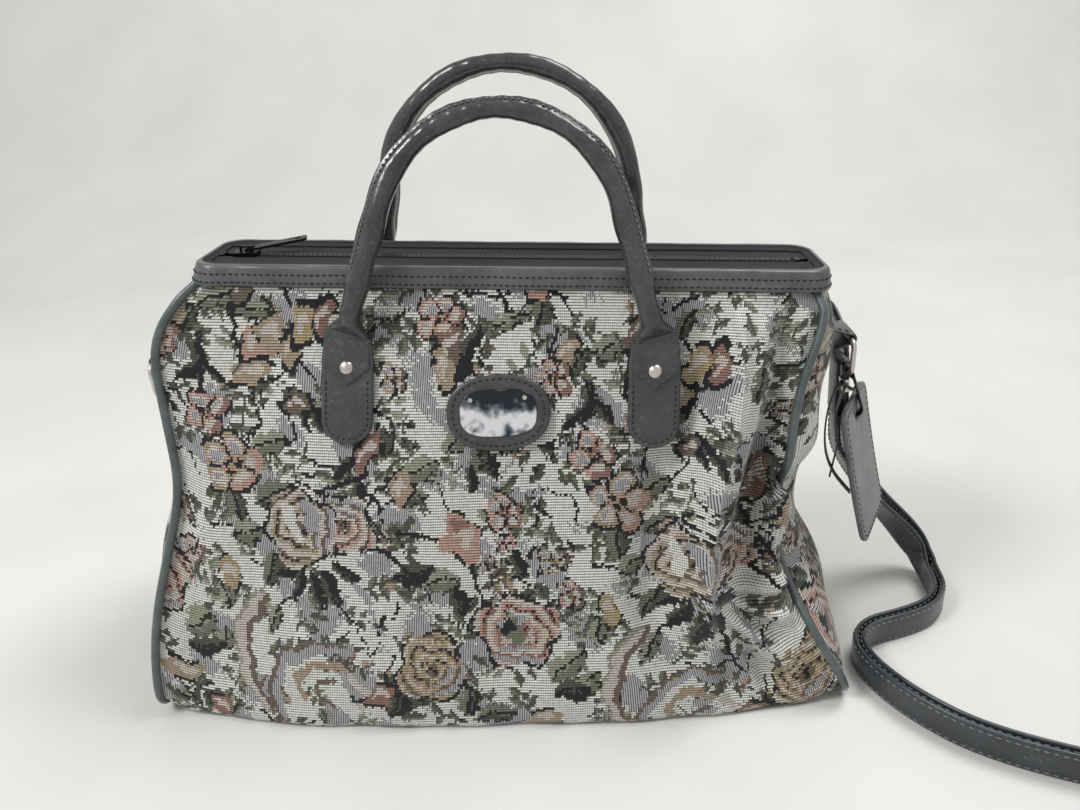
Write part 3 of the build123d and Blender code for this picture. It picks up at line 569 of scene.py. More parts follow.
def back_folds(x, z):
    """The back's soft dents, from long sine waves."""
    d = 0.0035 * np.sin(x * 27 + 1.1) * np.sin(z * 21 + 0.4) + 0.0018 * np.sin(x * 63 - z * 40)
    return d - 0.005 * bell(x - 0.14, 0.02) * span(0.05, 0.1, 0.2, 0.27, z)


# Tapestry design: fields of thread colour laid over each other, repeated along the cloth in millimetres
threads = {
    "cream": srgb(226, 225, 218), "lilac": srgb(180, 179, 182), "sage": srgb(158, 160, 139),
    "olive": srgb(122, 125, 105), "moss": srgb(84, 87, 74), "ink": srgb(32, 33, 35),
    "salmon": srgb(193, 157, 142), "rose": srgb(147, 115, 104), "tan": srgb(174, 156, 133),
    "brown": srgb(118, 103, 89), "gold": srgb(178, 160, 126), "shell": srgb(206, 197, 186),
}
order = list(threads)
pale_leaf, green_leaf, dark_leaf = ("sage", "olive"), ("olive", "moss"), ("moss", "ink")
sprig_leaves = (pale_leaf, green_leaf, ("sage", "sage"), ("tan", "brown"), dark_leaf)
sprig_odds = (0.34, 0.28, 0.18, 0.12, 0.08)
repeat_x = 226.0
repeat_z = 318.0
design_left = -172


class Loom:
    """A panel's cells and the thread that shows at each. Places and sizes are millimetres along the cloth.

    Two sine waves bend the places a little, so that no two motifs are cut quite alike."""

    def __init__(self, x, z, seed, drop):
        self.drop = drop
        self.rng = np.random.default_rng(seed)
        bent_x = 1.4 * np.sin(z * 0.19 + x * 0.12) + 0.6 * np.sin(z * 0.43 - x * 0.08 + 1.7)
        bent_z = 1.4 * np.sin(x * 0.17 - z * 0.10 + 0.6) + 0.6 * np.sin(x * 0.39 + z * 0.11 + 2.9)
        self.x = x + bent_x + self.rng.normal(0, 0.40, x.shape)
        self.z = z + bent_z + self.rng.normal(0, 0.40, z.shape)
        self.ink = np.zeros(x.shape, int)

    def local(self, cx, cz, turn=0.0):
        """Each cell's place about a motif's middle, turned with it. Each repeat lies a step lower."""
        n = np.floor((self.x - cx) / repeat_x + 0.5)
        dx = self.x - cx - n * repeat_x
        dz = (self.z + n * self.drop - cz + repeat_z / 2) % repeat_z - repeat_z / 2
        c, s = np.cos(np.radians(turn)), np.sin(np.radians(turn))
        return dx * c + dz * s, dz * c - dx * s

    def lay(self, where, name):
        self.ink[where] = order.index(name)

    def blob(self, cx, cz, long, wide, turn, name, lobes=0, depth=0.0):
        """An oval field, its edge waved by a cosine for lobes."""
        u, w = self.local(cx, cz, turn)
        r = np.hypot(u / long, w / wide)
        self.lay(r < 1 + depth * np.cos(lobes * np.arctan2(w, u)), name)

    def petal(self, cx, cz, long, wide, turn, name):
        """An oval petal: a broken dark rim, the petal's own colour, and a pale middle on one side."""
        u, w = self.local(cx, cz, turn)
        r, angle = np.hypot(u / long, w / wide), np.arctan2(w, u)
        rim = 1 + 0.14 * np.cos(4 * angle + cx)
        self.lay((r < rim + 1.9 / wide) & (np.sin(2 * angle + cx) > -0.25), "ink")
        self.lay(r < rim, name)
        self.lay((r < 0.62 * rim) & (np.cos(angle - 1.0) > -0.35), "shell")

    def leaf(self, cx, cz, long, wide, turn, name, shade, vein="ink"):
        """A pointed leaf: its half width falls as a cosine, one side darker, with a vein and a ragged rim."""
        u, w = self.local(cx, cz, turn)
        half = wide / 2 * np.cos(np.clip(u / long, -0.5, 0.5) * np.pi) ** 0.8 * (1 + 0.18 * np.cos(u * 1.1))
        inside = (np.abs(u) < long / 2) & (np.abs(w) < half)
        self.lay(inside, name)
        self.lay(inside & (w < -0.15 * half), shade)
        if vein:
            self.lay(inside & (np.abs(w - 0.1 * half) < 0.9) & (u > -0.42 * long), vein)
            self.lay(inside & (w < -half + 1.7) & (np.sin(u * 0.7) > -0.3), vein)

    def blossom(self, cx, cz, size, petals, turn, name, shade):
        """Round petals, each pale in its middle, about a dark heart: the rim is a rectified cosine."""
        u, w = self.local(cx, cz, turn)
        r, angle = np.hypot(u, w) / size, np.arctan2(w, u)
        lobe = np.abs(np.cos(petals * angle / 2))
        rim = 0.62 + 0.38 * lobe ** 0.7
        self.lay((r < rim + 0.12) & (np.sin(angle * 2 + cx) > -0.5), "ink")
        self.lay(r < rim, name)
        self.lay((r < rim * 0.86) & (lobe > 0.55) & (r > 0.36), "shell")
        self.lay((r < rim * 0.74) & (lobe > 0.72) & (r > 0.40) & (np.cos(angle - 2.0) > -0.2), "lilac")
        self.lay((r < rim) & (np.cos(angle + 0.8) > 0.45) & (r > rim * 0.72), shade)
        self.lay((r < rim * 0.95) & (lobe < 0.24) & (r > 0.25), "ink")
        self.lay(r < 0.30, shade)
        self.lay((r < 0.27) & (np.cos(3 * angle) > -0.4), "ink")
        self.lay(r < 0.10, "gold")

    def rose(self, cx, cz, size, turn, light, mid, deep):
        """A full rose: petals as bands of a spiral, pale at the lip, shaded below, dark beside the next."""
        u, w = self.local(cx, cz, turn)
        r, angle = np.hypot(u, w * 1.08) / size, np.arctan2(w, u)
        rim = 1 + 0.10 * np.cos(5 * angle + 1.0) + 0.06 * np.cos(3 * angle)
        inside = r < rim
        self.lay((r < rim + 0.08) & (np.sin(3 * angle + cx) > -0.6), "ink")
        band = (r * 2.7 + angle / (2 * np.pi) + 0.26 * np.cos(2.5 * angle) + 0.10 * np.cos(7 * angle)) % 1.0
        self.lay(inside, mid)
        self.lay(inside & (band > 0.30), "shell")
        self.lay(inside & (band > 0.48), light)
        self.lay(inside & (band > 0.74), deep)
        self.lay(inside & (band > 0.90) & (np.cos(angle - 0.6) > -0.3), "ink")
        self.lay(inside & (np.cos(angle + 2.2) > 0.70) & (band < 0.4) & (r > 0.4), "lilac")
        self.lay(r < 0.22, deep)
        self.lay((r < 0.15) & (np.sin(angle * 2) > 0), "ink")

    def stroke(self, points, wide, name, taper):
        """A stem: every cell within half its width of the line through the points."""
        best = np.full(self.x.shape, 1e9)
        total = len(points) - 1
        for k in range(total):
            (ax, az), (bx, bz) = points[k], points[k + 1]
            u, w = self.local(ax, az)
            dx, dz = bx - ax, bz - az
            t = np.clip((u * dx + w * dz) / (dx * dx + dz * dz), 0, 1)
            width = wide / 2 * (1 - taper * (k + t) / total)
            best = np.minimum(best, np.hypot(u - t * dx, w - t * dz) - width)
        self.lay(best < 0, name)

    def shadows(self):
        """Lilac where the sum of four long waves is high, broken along its edge."""
        k = 2 * np.pi / repeat_x
        h = 2 * np.pi / repeat_z
        x, z = k * self.x, h * self.z
        wave = (np.sin(3 * x + 2 * z + 0.5) + np.sin(4 * x - 5 * z + 1.9)
                + 0.8 * np.sin(7 * x + 6 * z) + 0.8 * np.sin(2 * x + 9 * z + 4.0))
        self.lay(wave + self.rng.normal(0, 0.35, wave.shape) > 0.75, "lilac")

    def sprig(self, cx, cz, turn, draw):
        """A thin stem with a leaf at its tip and pairs down its sides."""
        c, s = np.cos(np.radians(turn)), np.sin(np.radians(turn))
        long = draw.uniform(14, 26)
        name, shade = sprig_leaves[draw.choice(5, p=sprig_odds)]
        bend = draw.uniform(-4, 4)
        middle = (cx + c * long / 2 - s * bend, cz + s * long / 2 + c * bend)
        self.stroke(((cx, cz), middle, (cx + c * long, cz + s * long)), 1.6, "moss", 0.3)
        for k, (share, swing) in enumerate(((1.1, 0), (0.7, 52), (0.6, -50), (0.3, 58), (0.22, -56))):
            size = draw.uniform(8, 13) * (1.15 if k == 0 else 0.9)
            way = np.radians(turn + swing)
            lx = cx + c * long * share + np.cos(way) * size * 0.5
            lz = cz + s * long * share + np.sin(way) * size * 0.5
            self.leaf(lx, lz, size, size * 0.52, turn + swing, name, shade, "moss" if k % 2 == 0 else None)

    def curl(self, cx, cz, draw):
        """A short dark line that bends once."""
        way, bend, long = draw.uniform(0, 2 * np.pi), draw.uniform(-1.1, 1.1), draw.uniform(5, 11)
        mid_x, mid_z = cx + long * np.cos(way), cz + long * np.sin(way)
        tip = (mid_x + long * np.cos(way + bend), mid_z + long * np.sin(way + bend))
        self.stroke(((cx, cz), (mid_x, mid_z), tip), draw.uniform(1.5, 2.4), "ink", 0.4)

    def colours(self):
        """Each cell's thread colour, a little uneven, with a fourth value of 1 where the warp shows."""
        table = np.array([threads[n] for n in order])
        lined = np.zeros(len(order))
        lined[order.index("lilac")] = 1.0
        tone = table[self.ink] * self.rng.normal(1.0, 0.07, self.ink.shape).clip(0.75, 1.2)[..., None]
        return np.concatenate([tone, lined[self.ink][..., None]], -1)


def weave(x, z, seed, drop):
    """The whole design: lilac shadows, sprigs, scrolls, leaves, stems, then flowers and roses."""
    loom = Loom(x, z, seed, drop)
    loom.shadows()
    draw = np.random.default_rng(5)
    for i in range(10):
        for j in range(12):
            spot_x = design_left + repeat_x * (i + draw.uniform(0.1, 0.9)) / 10
            spot_z = repeat_z * (j + draw.uniform(0.1, 0.9)) / 12
            loom.sprig(spot_x, spot_z, draw.uniform(0, 360), draw)
    for _ in range(90):
        loom.curl(draw.uniform(design_left, design_left + repeat_x), draw.uniform(0, repeat_z), draw)
    for scroll in (
            (((-137, 92), (-150, 78), (-156, 60), (-152, 40), (-142, 22)), 13, "sage", 0.5),
            (((-137, 92), (-150, 78), (-156, 60), (-152, 40), (-142, 22)), 8, "shell", 0.5),
            (((-132, 94), (-146, 76), (-151, 58), (-148, 40), (-138, 20)), 4.5, "brown", 0.4),
            (((-86, 62), (-106, 66), (-126, 56), (-136, 38), (-132, 18)), 9, "lilac", 0.2),
            (((-86, 64), (-106, 69), (-128, 58), (-139, 38), (-134, 16)), 3.4, "brown", 0.3),
            (((-92, 50), (-108, 54), (-120, 44), (-118, 30)), 6, "tan", 0.4),
            (((-96, 42), (-106, 40), (-108, 30), (-98, 24)), 4, "brown", 0.4),
            (((-86, 46), (-76, 36), (-80, 22)), 5, "shell", 0.3),
            (((-80, 108), (-70, 92), (-62, 74)), 3, "lilac", 0.2),
            (((-26, 176), (-8, 164), (6, 166), (20, 178)), 2.2, "lilac", 0.3),
            (((-16, 206), (-4, 200), (10, 203), (28, 196)), 2.0, "lilac", 0.2)):
        loom.stroke(*scroll)
    for *form, tones in (
            (-150, 272, 26, 13, 20, pale_leaf), (-128, 268, 24, 13, -20, pale_leaf),
            (-166, 262, 20, 11, 60, green_leaf), (-124, 188, 24, 15, 20, pale_leaf),
            (-122, 160, 26, 16, 30, green_leaf), (-146, 152, 22, 13, 100, green_leaf),
            (-140, 136, 20, 15, 20, pale_leaf), (-128, 112, 24, 13, 60, green_leaf),
            (-160, 96, 20, 11, 100, pale_leaf), (-130, 82, 24, 10, 60, pale_leaf),
            (-166, 64, 20, 14, 70, pale_leaf), (-56, 192, 26, 13, 100, green_leaf),
            (-34, 176, 24, 17, 20, pale_leaf), (-40, 158, 24, 12, 0, green_leaf),
            (-12, 192, 22, 14, 70, pale_leaf), (2, 182, 20, 13, 110, green_leaf),
            (18, 190, 22, 14, 40, pale_leaf), (-26, 106, 24, 17, 10, pale_leaf),
            (-42, 112, 24, 16, 20, dark_leaf), (-16, 94, 22, 12, 110, dark_leaf),
            (20, 116, 20, 10, 100, dark_leaf), (-2, 80, 26, 11, 80, dark_leaf),
            (46, 50, 28, 20, 40, pale_leaf), (48, 34, 26, 15, 10, dark_leaf),
            (-58, 30, 24, 15, 60, dark_leaf), (-14, 30, 24, 12, 90, green_leaf),
            (2, 18, 26, 12, 10, green_leaf), (-64, 250, 24, 12, 60, green_leaf),
            (-6, 240, 26, 13, 70, dark_leaf), (22, 262, 24, 12, 20, pale_leaf),
            (40, 268, 22, 13, 60, green_leaf), (-104, 286, 22, 11, 60, green_leaf)):
        loom.leaf(*form, *tones)
    for form in (
            (-162, 238, 30, 9, 80), (-154, 232, 20, 8, 130), (-170, 230, 20, 8, 40),
            (-100, 208, 26, 7, 110), (-90, 204, 26, 8, 120), (-112, 104, 24, 9, 60), (-102, 98, 26, 9, 90),
            (-92, 102, 24, 9, 120), (-118, 112, 18, 8, 20), (-84, 112, 20, 9, 150), (0, 250, 22, 8, 70),
            (-150, 168, 18, 8, 140), (-78, 178, 22, 8, 40), (-70, 160, 20, 8, 100), (8, 176, 22, 8, 110),
            (-4, 170, 20, 8, 80)):
        loom.leaf(*form, *dark_leaf)
    for points, wide in (
            (((-163, 224), (-160, 212)), 2.2), (((-137, 268), (-140, 250), (-134, 236), (-124, 226)), 2.4),
            (((-124, 226), (-112, 232), (-104, 240), (-92, 226)), 2.2),
            (((-118, 262), (-110, 254), (-116, 244)), 2.0),
            (((-72, 222), (-60, 214), (-50, 206), (-46, 196)), 2.2), (((-46, 196), (-52, 184)), 1.8),
            (((-80, 160), (-66, 150), (-54, 132)), 3.0),
            (((-66, 172), (-80, 168), (-94, 160), (-110, 166)), 3.4),
            (((-46, 136), (-28, 134), (-20, 137)), 2.6), (((-68, 130), (-56, 122), (-46, 112)), 3.2),
            (((-6, 118), (-4, 96), (-2, 76)), 3.0), (((10, 128), (8, 112), (4, 100)), 2.0),
            (((26, 86), (40, 92), (50, 88)), 1.8), (((-60, 86), (-66, 74), (-70, 62)), 2.0),
            (((-92, 96), (-84, 84), (-78, 72), (-72, 62)), 2.0), (((14, 282), (20, 270), (32, 264)), 2.0),
            (((48, 258), (44, 244), (50, 232)), 2.4), (((-30, 284), (-26, 272), (-16, 268)), 1.8),
            (((-164, 190), (-152, 184), (-146, 190)), 2.2), (((-20, 44), (-10, 34), (-12, 20)), 2.2),
            (((30, 138), (34, 150), (30, 164)), 1.6), (((-106, 276), (-100, 262), (-104, 250)), 2.4)):
        loom.stroke(points, wide, "ink", 0.35)
    for form in (
            (-128, 246, 12, 8, 70, "salmon"), (-117, 252, 8, 11, 10, "tan"), (-132, 230, 11, 6, 30, "tan"),
            (-106, 246, 11, 6, 80, "tan"), (-98, 260, 13, 6, 75, "gold"), (-86, 262, 12, 5, 80, "rose"),
            (-104, 212, 8, 5, 40, "brown"), (-132, 282, 11, 5, 60, "brown"), (-64, 186, 14, 5, 60, "rose"),
            (-45, 165, 10, 7, 60, "tan"), (40, 280, 9, 6, 50, "salmon"), (-154, 110, 5, 12, 12, "gold"),
            (-12, 246, 12, 6, 80, "brown"), (-18, 234, 10, 6, 110, "tan"), (-68, 34, 9, 7, 40, "rose"),
            (30, 14, 13, 6, 10, "tan"), (54, 244, 8, 5, 80, "tan"), (-172, 20, 8, 6, 30, "rose")):
        loom.petal(*form)
    for form in (
            (-160, 207, 14, 4, 20, "salmon", "rose"), (-146, 177, 19, 5, 10, "tan", "salmon"),
            (-46, 229, 9, 4, 40, "tan", "brown"), (-18, 264, 14, 5, 0, "salmon", "rose"),
            (44, 228, 12, 5, 30, "salmon", "rose"), (13, 149, 11, 5, 20, "salmon", "rose"),
            (41, 118, 9, 5, 60, "tan", "brown"), (49, 96, 9, 5, 15, "salmon", "brown"),
            (4, 116, 6, 4, 10, "rose", "brown"), (14, 130, 7, 4, 40, "rose", "salmon")):
        loom.blossom(*form)
    loom.petal(-12, 134, 10, 16, 20, "salmon")
    loom.blob(-13, 141, 6, 5, 0, "rose", 3, 0.2)
    loom.blob(-11, 132, 3, 7, 10, "shell")
    loom.blob(-20, 130, 4, 8, 40, "salmon")
    loom.rose(18, 73, 24, 30, "shell", "salmon", "rose")
    loom.blob(14, 81, 7, 5, 20, "lilac", 4, 0.2)
    loom.blob(16, 73, 4, 9, 20, "olive", 4, 0.2)
    loom.blob(12, 77, 4, 4, 0, "ink", 3, 0.3)
    loom.rose(-35, 51, 21, 80, "gold", "tan", "brown")
    loom.rose(-82, 141, 19, 200, "shell", "salmon", "brown")
    loom.rose(-108, 138, 23, 120, "shell", "tan", "brown")
    loom.blob(-113, 142, 4, 13, 12, "cream")
    loom.blob(-101, 146, 5, 9, 20, "lilac", 3, 0.2)
    return loom.colours()


def cell_mm(places):
    """A grid of places in metres, at the middle of each cell and in millimetres."""
    return (places[1:, 1:] + places[:-1, 1:] + places[1:, :-1] + places[:-1, :-1]) / 4 * 1000


def cloth_panel(name, spots, seed, design, flip, replaces=("tapestry_body",), drop=0.0):
    """A grid of cloth as one piece, with the design worked out at each cell's two places in millimetres."""
    n, m = spots.shape[:2]
    uv = np.stack(np.meshgrid(np.arange(n) / uv_threads, np.arange(m) / uv_threads, indexing="ij"), -1)
    shell = Shell().grid(spots, uv=uv, tint=weave(*design, seed, drop), flip=flip)
    shell.piece(name, [tapestry], "tapestry", "bag", replaces)


# Front, back and base
columns = 304
rows = 174
s_grid, v_grid = np.meshgrid(np.linspace(0, 1, columns), np.linspace(0, 1, rows), indexing="ij")
up_cloth = (1 - v_grid) * cloth_rise


def folded_panel(folds, back):
    """The front or the back: its wall, pushed out at each point by folds that die away at the seams."""
    spots = wall(s_grid, v_grid, back)
    out = outward(spots) if back else -outward(spots)
    calm = smooth(0.0, 0.05, s_grid) * smooth(0.0, 0.04, 1 - s_grid) * smooth(0.03, 0.10, v_grid)
    spots = spots + out * (folds(spots[..., 0], up_cloth) * calm)[..., None]
    spots[..., 2] = np.maximum(spots[..., 2], floor_gap)
    return spots


def drawn_across(front_edge, back_edge, shares):
    """Straight lines from the front edge to the back edge, read at these shares."""
    return front_edge[:, None] * (1 - shares)[None, :, None] + back_edge[:, None] * shares[None, :, None]


front_spots = folded_panel(front_folds, False)
back_spots = folded_panel(back_folds, True)
base_spots = drawn_across(front_spots[:, -1], back_spots[:, -1], np.linspace(0, 1, 84))
up_mm = cell_mm(up_cloth)
cloth_panel("front_cloth", front_spots, 11, (cell_mm(front_spots[..., 0]), up_mm), True, drop=24.5)
cloth_panel("back_cloth", back_spots, 12, (60 - cell_mm(back_spots[..., 0]), up_mm), False)
cloth_panel("base_cloth", base_spots, 13, (cell_mm(base_spots[..., 0]), cell_mm(base_spots[..., 1])), True)


# End panels: lines from the front seam to the back seam, swollen or pinched in the middle
end_shares = np.linspace(0, 1, 96)
right_mid_z = np.array((0.0, 15, 40, 61, 75, 91, 121, 148, 175, 191, 207, 235, 256)) / 1000
right_mid_x = np.array((219.0, 224, 220, 213, 206, 199, 202, 206.5, 210, 213, 214.5, 209, 204.5)) / 1000


def left_end_of(front_edge, back_edge):
    """The left end: swollen outward, most beside the front seam, with two soft creases."""
    spots = drawn_across(front_edge, back_edge, end_shares)
    w, z = np.broadcast_to(end_shares, spots.shape[:2]), spots[..., 2]
    push = -(0.010 + 0.012 * bell(w - 0.20, 0.17)) * span(0.0, 0.05, 0.19, 0.262, z)
    push += 0.003 * bell(z - 0.14, 0.025) * np.cos(w * 5) + 0.0012 * np.sin(z * 90 + w * 6)
    spots[..., 0] += push * np.sin(np.pi * w) ** 0.6
    return spots


def right_end_of(front_edge, back_edge):
    """The right end: its middle follows its own curve up the panel, and its sides run into the seams."""
    spots = drawn_across(front_edge, back_edge, end_shares)
    w, z = np.broadcast_to(end_shares, spots.shape[:2]), spots[..., 2]
    share = np.sin(np.pi * w) ** 0.55
    middle = softened(z, right_mid_z, right_mid_x)
    spots[..., 0] += (middle - spots[..., 0]) * share * span(0.0045, 0.016, 0.243, 0.2525, z)
    spots[..., 0] += 0.002 * np.sin(z * 85 + w * 7) * share * span(0.0, 0.05, 0.23, 0.25, z)
    return spots


left_end = left_end_of(front_spots[0], back_spots[0])
right_end = right_end_of(front_spots[-1], back_spots[-1])
for name, spots, seed, shift, lift, flip in (("left", left_end, 14, 20, 0, True),
                                             ("right", right_end, 15, 88, 30, False)):
    design = (cell_mm(spots[..., 1]) + shift, cell_mm(spots[..., 2]) + lift)
    cloth_panel(name + "_end_cloth", spots, seed, design, flip, (name + "_end_panel",))


# Piping along the end seams
def seam_path(front_edge, back_edge, side):
    """Down the front seam, under the end and up the back seam, set just outside the cloth."""
    skip, middle_height = 6, 0.12
    low = np.linspace(0, 1, 40)[1:-1, None]
    under = front_edge[-1] * (1 - low) + back_edge[-1] * low
    path = np.vstack([front_edge[skip:], under, back_edge[skip:][::-1]])
    out = unit((path - z_way * middle_height) * np.array([0.0, 1.0, 0.75]))
    path = path + out * 0.0018 + x_way * side * 0.0016
    path[:, 2] = np.maximum(path[:, 2], piping_radius + 0.0004)
    path = resampled(path, 260)
    for _ in range(8):
        path[1:-1] = (path[:-2] + 2 * path[1:-1] + path[2:]) / 4
    far = along(path)[1]
    tucked = 1 - smooth(0.0, 0.014, np.minimum(far, far[-1] - far))
    path[:, 0] *= 1 - 0.022 * tucked
    path[:, 1] *= 1 - 0.10 * tucked
    return path


for side, edge, name in ((-1, 0, "left_piping"), (1, -1, "right_piping")):
    path = seam_path(front_spots[edge], back_spots[edge], side)
    cord = Shell().tube(round_tube(path, piping_radius, 14, (1.0, 0.02, 0.03)))
    cord.piece(name + "_cord", [vinyl_cord], "piping", "bag", (name,))


# Bands along the mouth, each with two rows of stitches
mouth_way = unit(top_right - top_left)
mouth_up = np.array((-mouth_way[2], 0.0, mouth_way[0]))
mouth_middle = (top_left + top_right) / 2


def mouth_half(back):
    """Half of the mouth's rounded outline, from the middle of the left end to the middle of the right end.

    Gives the place along the mouth, the place across it, and the outward way at each point."""
    half, deep, r = mouth_span / 2 - 0.0005, half_mouth + 0.0004, 0.013
    turn = np.linspace(0, np.pi / 2, 24)
    run = np.linspace(r - half, half - r, 190)[1:-1]
    u = np.concatenate([[-half] * 5, r - half - r * np.cos(turn), run, half - r + r * np.sin(turn),
                        [half] * 5])
    short = np.linspace(0, deep - r, 6)
    y = np.concatenate([short[:-1], deep - r + r * np.sin(turn), np.full(len(run), deep),
                        deep - r + r * np.cos(turn), short[:-1][::-1]])
    nu = np.concatenate([[-1.0] * 5, -np.cos(turn), 0 * run, np.sin(turn), [1.0] * 5])
    ny = np.sqrt(1 - nu ** 2)
    side = 1.0 if back else -1.0
    return u, side * y, nu, side * ny


def on_mouth(u, y, h):
    return mouth_middle + u[..., None] * mouth_way + h[..., None] * mouth_up + y[..., None] * y_way


def band(back):
    """A strip folded over the mouth's edge: its section runs up outside, over the lip and in to the zip."""
    u, y, nu, ny = mouth_half(back)
    slope = 0.356 * np.abs(ny) + np.where(nu < 0, 0.2, 0.05) * np.abs(nu)
    reach = 0.011 * np.abs(ny) + 0.006 * np.abs(nu)
    wave = 0.0004 * np.sin(u * 90) + 0.0003 * np.sin(u * 215 + 1)
    out = np.array((0.2, 1.3, 2.0, 2.0, 2.0, 1.9, 1.6, 0.9, 0.0)) / 1000
    high = np.array((-9.0, -9.2, -8.5, -5.9, -3.2, -0.6, 0.9, 1.9, 2.3)) / 1000
    lip = np.array((0.24, 0.30, 0.66, 0.96, 1.0, 0.5))
    lip_high = np.array((2.2, 1.3, 1.1, 1.0, 0.4, 0.3)) / 1000
    o = np.concatenate([out[None] - slope[:, None] * np.minimum(high, 0)[None] + wave[:, None],
                        -reach[:, None] * lip[None]], 1)
    h = np.broadcast_to(np.concatenate([high, lip_high]), o.shape)
    spots = on_mouth(u[:, None] + o * nu[:, None], y[:, None] + o * ny[:, None], h)
    cloth_side = np.where(np.arange(spots.shape[1]) < len(out), 0, 2)
    shell = Shell().grid(spots, round_v=True, flip=back, stuff=cloth_side)
    shell.fan(spots[0], flip=back).fan(spots[-1], flip=not back)
    facing = nu[:, None] * mouth_way + ny[:, None] * y_way + 0.34 * mouth_up
    for drop in (0.0026, 0.0070):
        off = 0.00205 + slope * drop + wave
        shell.sew(on_mouth(u + off * nu, y + off * ny, np.full(len(u), -drop)), facing)
    end = "back" if back else "front"
    shell.piece(end + "_band", [vinyl_band, dark_thread, tape_cloth], "vinyl", "bag", (end + "_top_band",))


band(False)
band(True)


# Handles, their tongues and tabs
def frame_of(origin, right, up):
    """A flat frame's origin in metres and its three unit axes."""
    right, up = unit(np.array(right)), unit(np.array(up))
    return np.array(origin) / 1000, right, up, np.cross(right, up)


def set_in(place, local):
    """Points given across, up and out of a frame, in metres, moved into the bag's frame."""
    origin, right, up, out = place
    return origin + local[..., :1] * right + local[..., 1:2] * up + local[..., 2:] * out


front_tabs = (frame_of((-71.461, -46.180, 233.408), (0.9983, 0.0066, -0.0574), (0.0504, 0.3871, 0.9207)),
              frame_of((103.548, -45.506, 223.439), (0.9983, 0.0066, -0.0574), (0.0518, 0.3406, 0.9388)))
back_tabs = (frame_of((103.525, 44.939, 226.281), (-0.9983, -0.0016, 0.0574), (0.0534, -0.3934, 0.9178)),
             frame_of((-71.474, 44.696, 236.358), (-0.9983, -0.0016, 0.0574), (0.0535, -0.3907, 0.919)))


def tab_half(y):
    """Half the tab's width at a distance y below its fold: straight sides and a round foot."""
    foot = np.clip((tab_long - y) / 0.0140, 0, 1)
    round_foot = 0.0148 * np.sqrt(np.clip(1 - (1 - foot) ** 2, 0, 1))
    return np.minimum(round_foot, 0.0136 + 0.0012 * smooth(0.0, 0.014, y))


def tab(place, node):
    """A vinyl tab: a sheet with rolled edges, a dished face, a stitched rim and a skirt down to the cloth."""
    y = 0.0005 + (1 - (1 - np.linspace(0, 1, 44)) ** 1.6) * 0.06045
    i = np.sin(np.linspace(-1, 1, 34) * np.pi / 2)
    half = tab_half(y)
    x = half[:, None] * i[None, :]
    rim = np.minimum(half[:, None] * (1 - np.abs(i))[None, :], (tab_long - y)[:, None])
    rolled, dished = 0.0012 * np.exp(-rim / 0.0007), 0.0003 * bell(rim - 0.0030, 0.0006)
    z = 0.0021 - rolled - dished + 0.0003 * bell(x, 0.008)
    local = np.stack([x, np.broadcast_to(-y[:, None], x.shape), z], -1)
    local = np.concatenate([local[:, :1], local, local[:, -1:]], 1)
    local[:, (0, -1), 2] = -0.0022
    shell = Shell().tube(set_in(place, local))
    straight, sewn_half, sewn_foot = 0.0470, 0.0120, 0.0112
    edge_y = np.concatenate([np.linspace(0.024, straight, 26),
                             straight + 0.0111 * np.sin(np.linspace(0.05, 1, 24) * np.pi / 2)])
    past = np.maximum(edge_y - straight, 0) / sewn_foot
    edge_x = sewn_half * np.sqrt(np.clip(1 - past ** 2, 0, 1))
    ring_x = np.concatenate([-edge_x, edge_x[::-1]])
    ring_y = np.concatenate([edge_y, edge_y[::-1]])
    row = set_in(place, np.stack([ring_x, -ring_y, np.full(len(ring_x), 0.00195)], -1))
    shell.sew(row, place[3], 0.0034, 0.0022, 0.0004)
    shell.piece(node + "_skin", [vinyl, dark_thread], "vinyl", "bag", (node,))


for end, places, sides in (("front", front_tabs, ("left", "right")), ("back", back_tabs, ("right", "left"))):
    for place, side in zip(places, sides):
        tab(place, "%s_%s_tab" % (end, side))


# Handle sizes: half width and half thickness at the root and at the grip, the tongue's length and half
# thickness, the flare's length, and how far the grip stands off the line between its roots
root_half, root_thick = 0.0130, 0.0026
grip_half, grip_thick = 0.0063, 0.0061
tongue_long, tongue_thick = 0.027, 0.0011
flare_long = 0.0115
grip_off = 0.0076


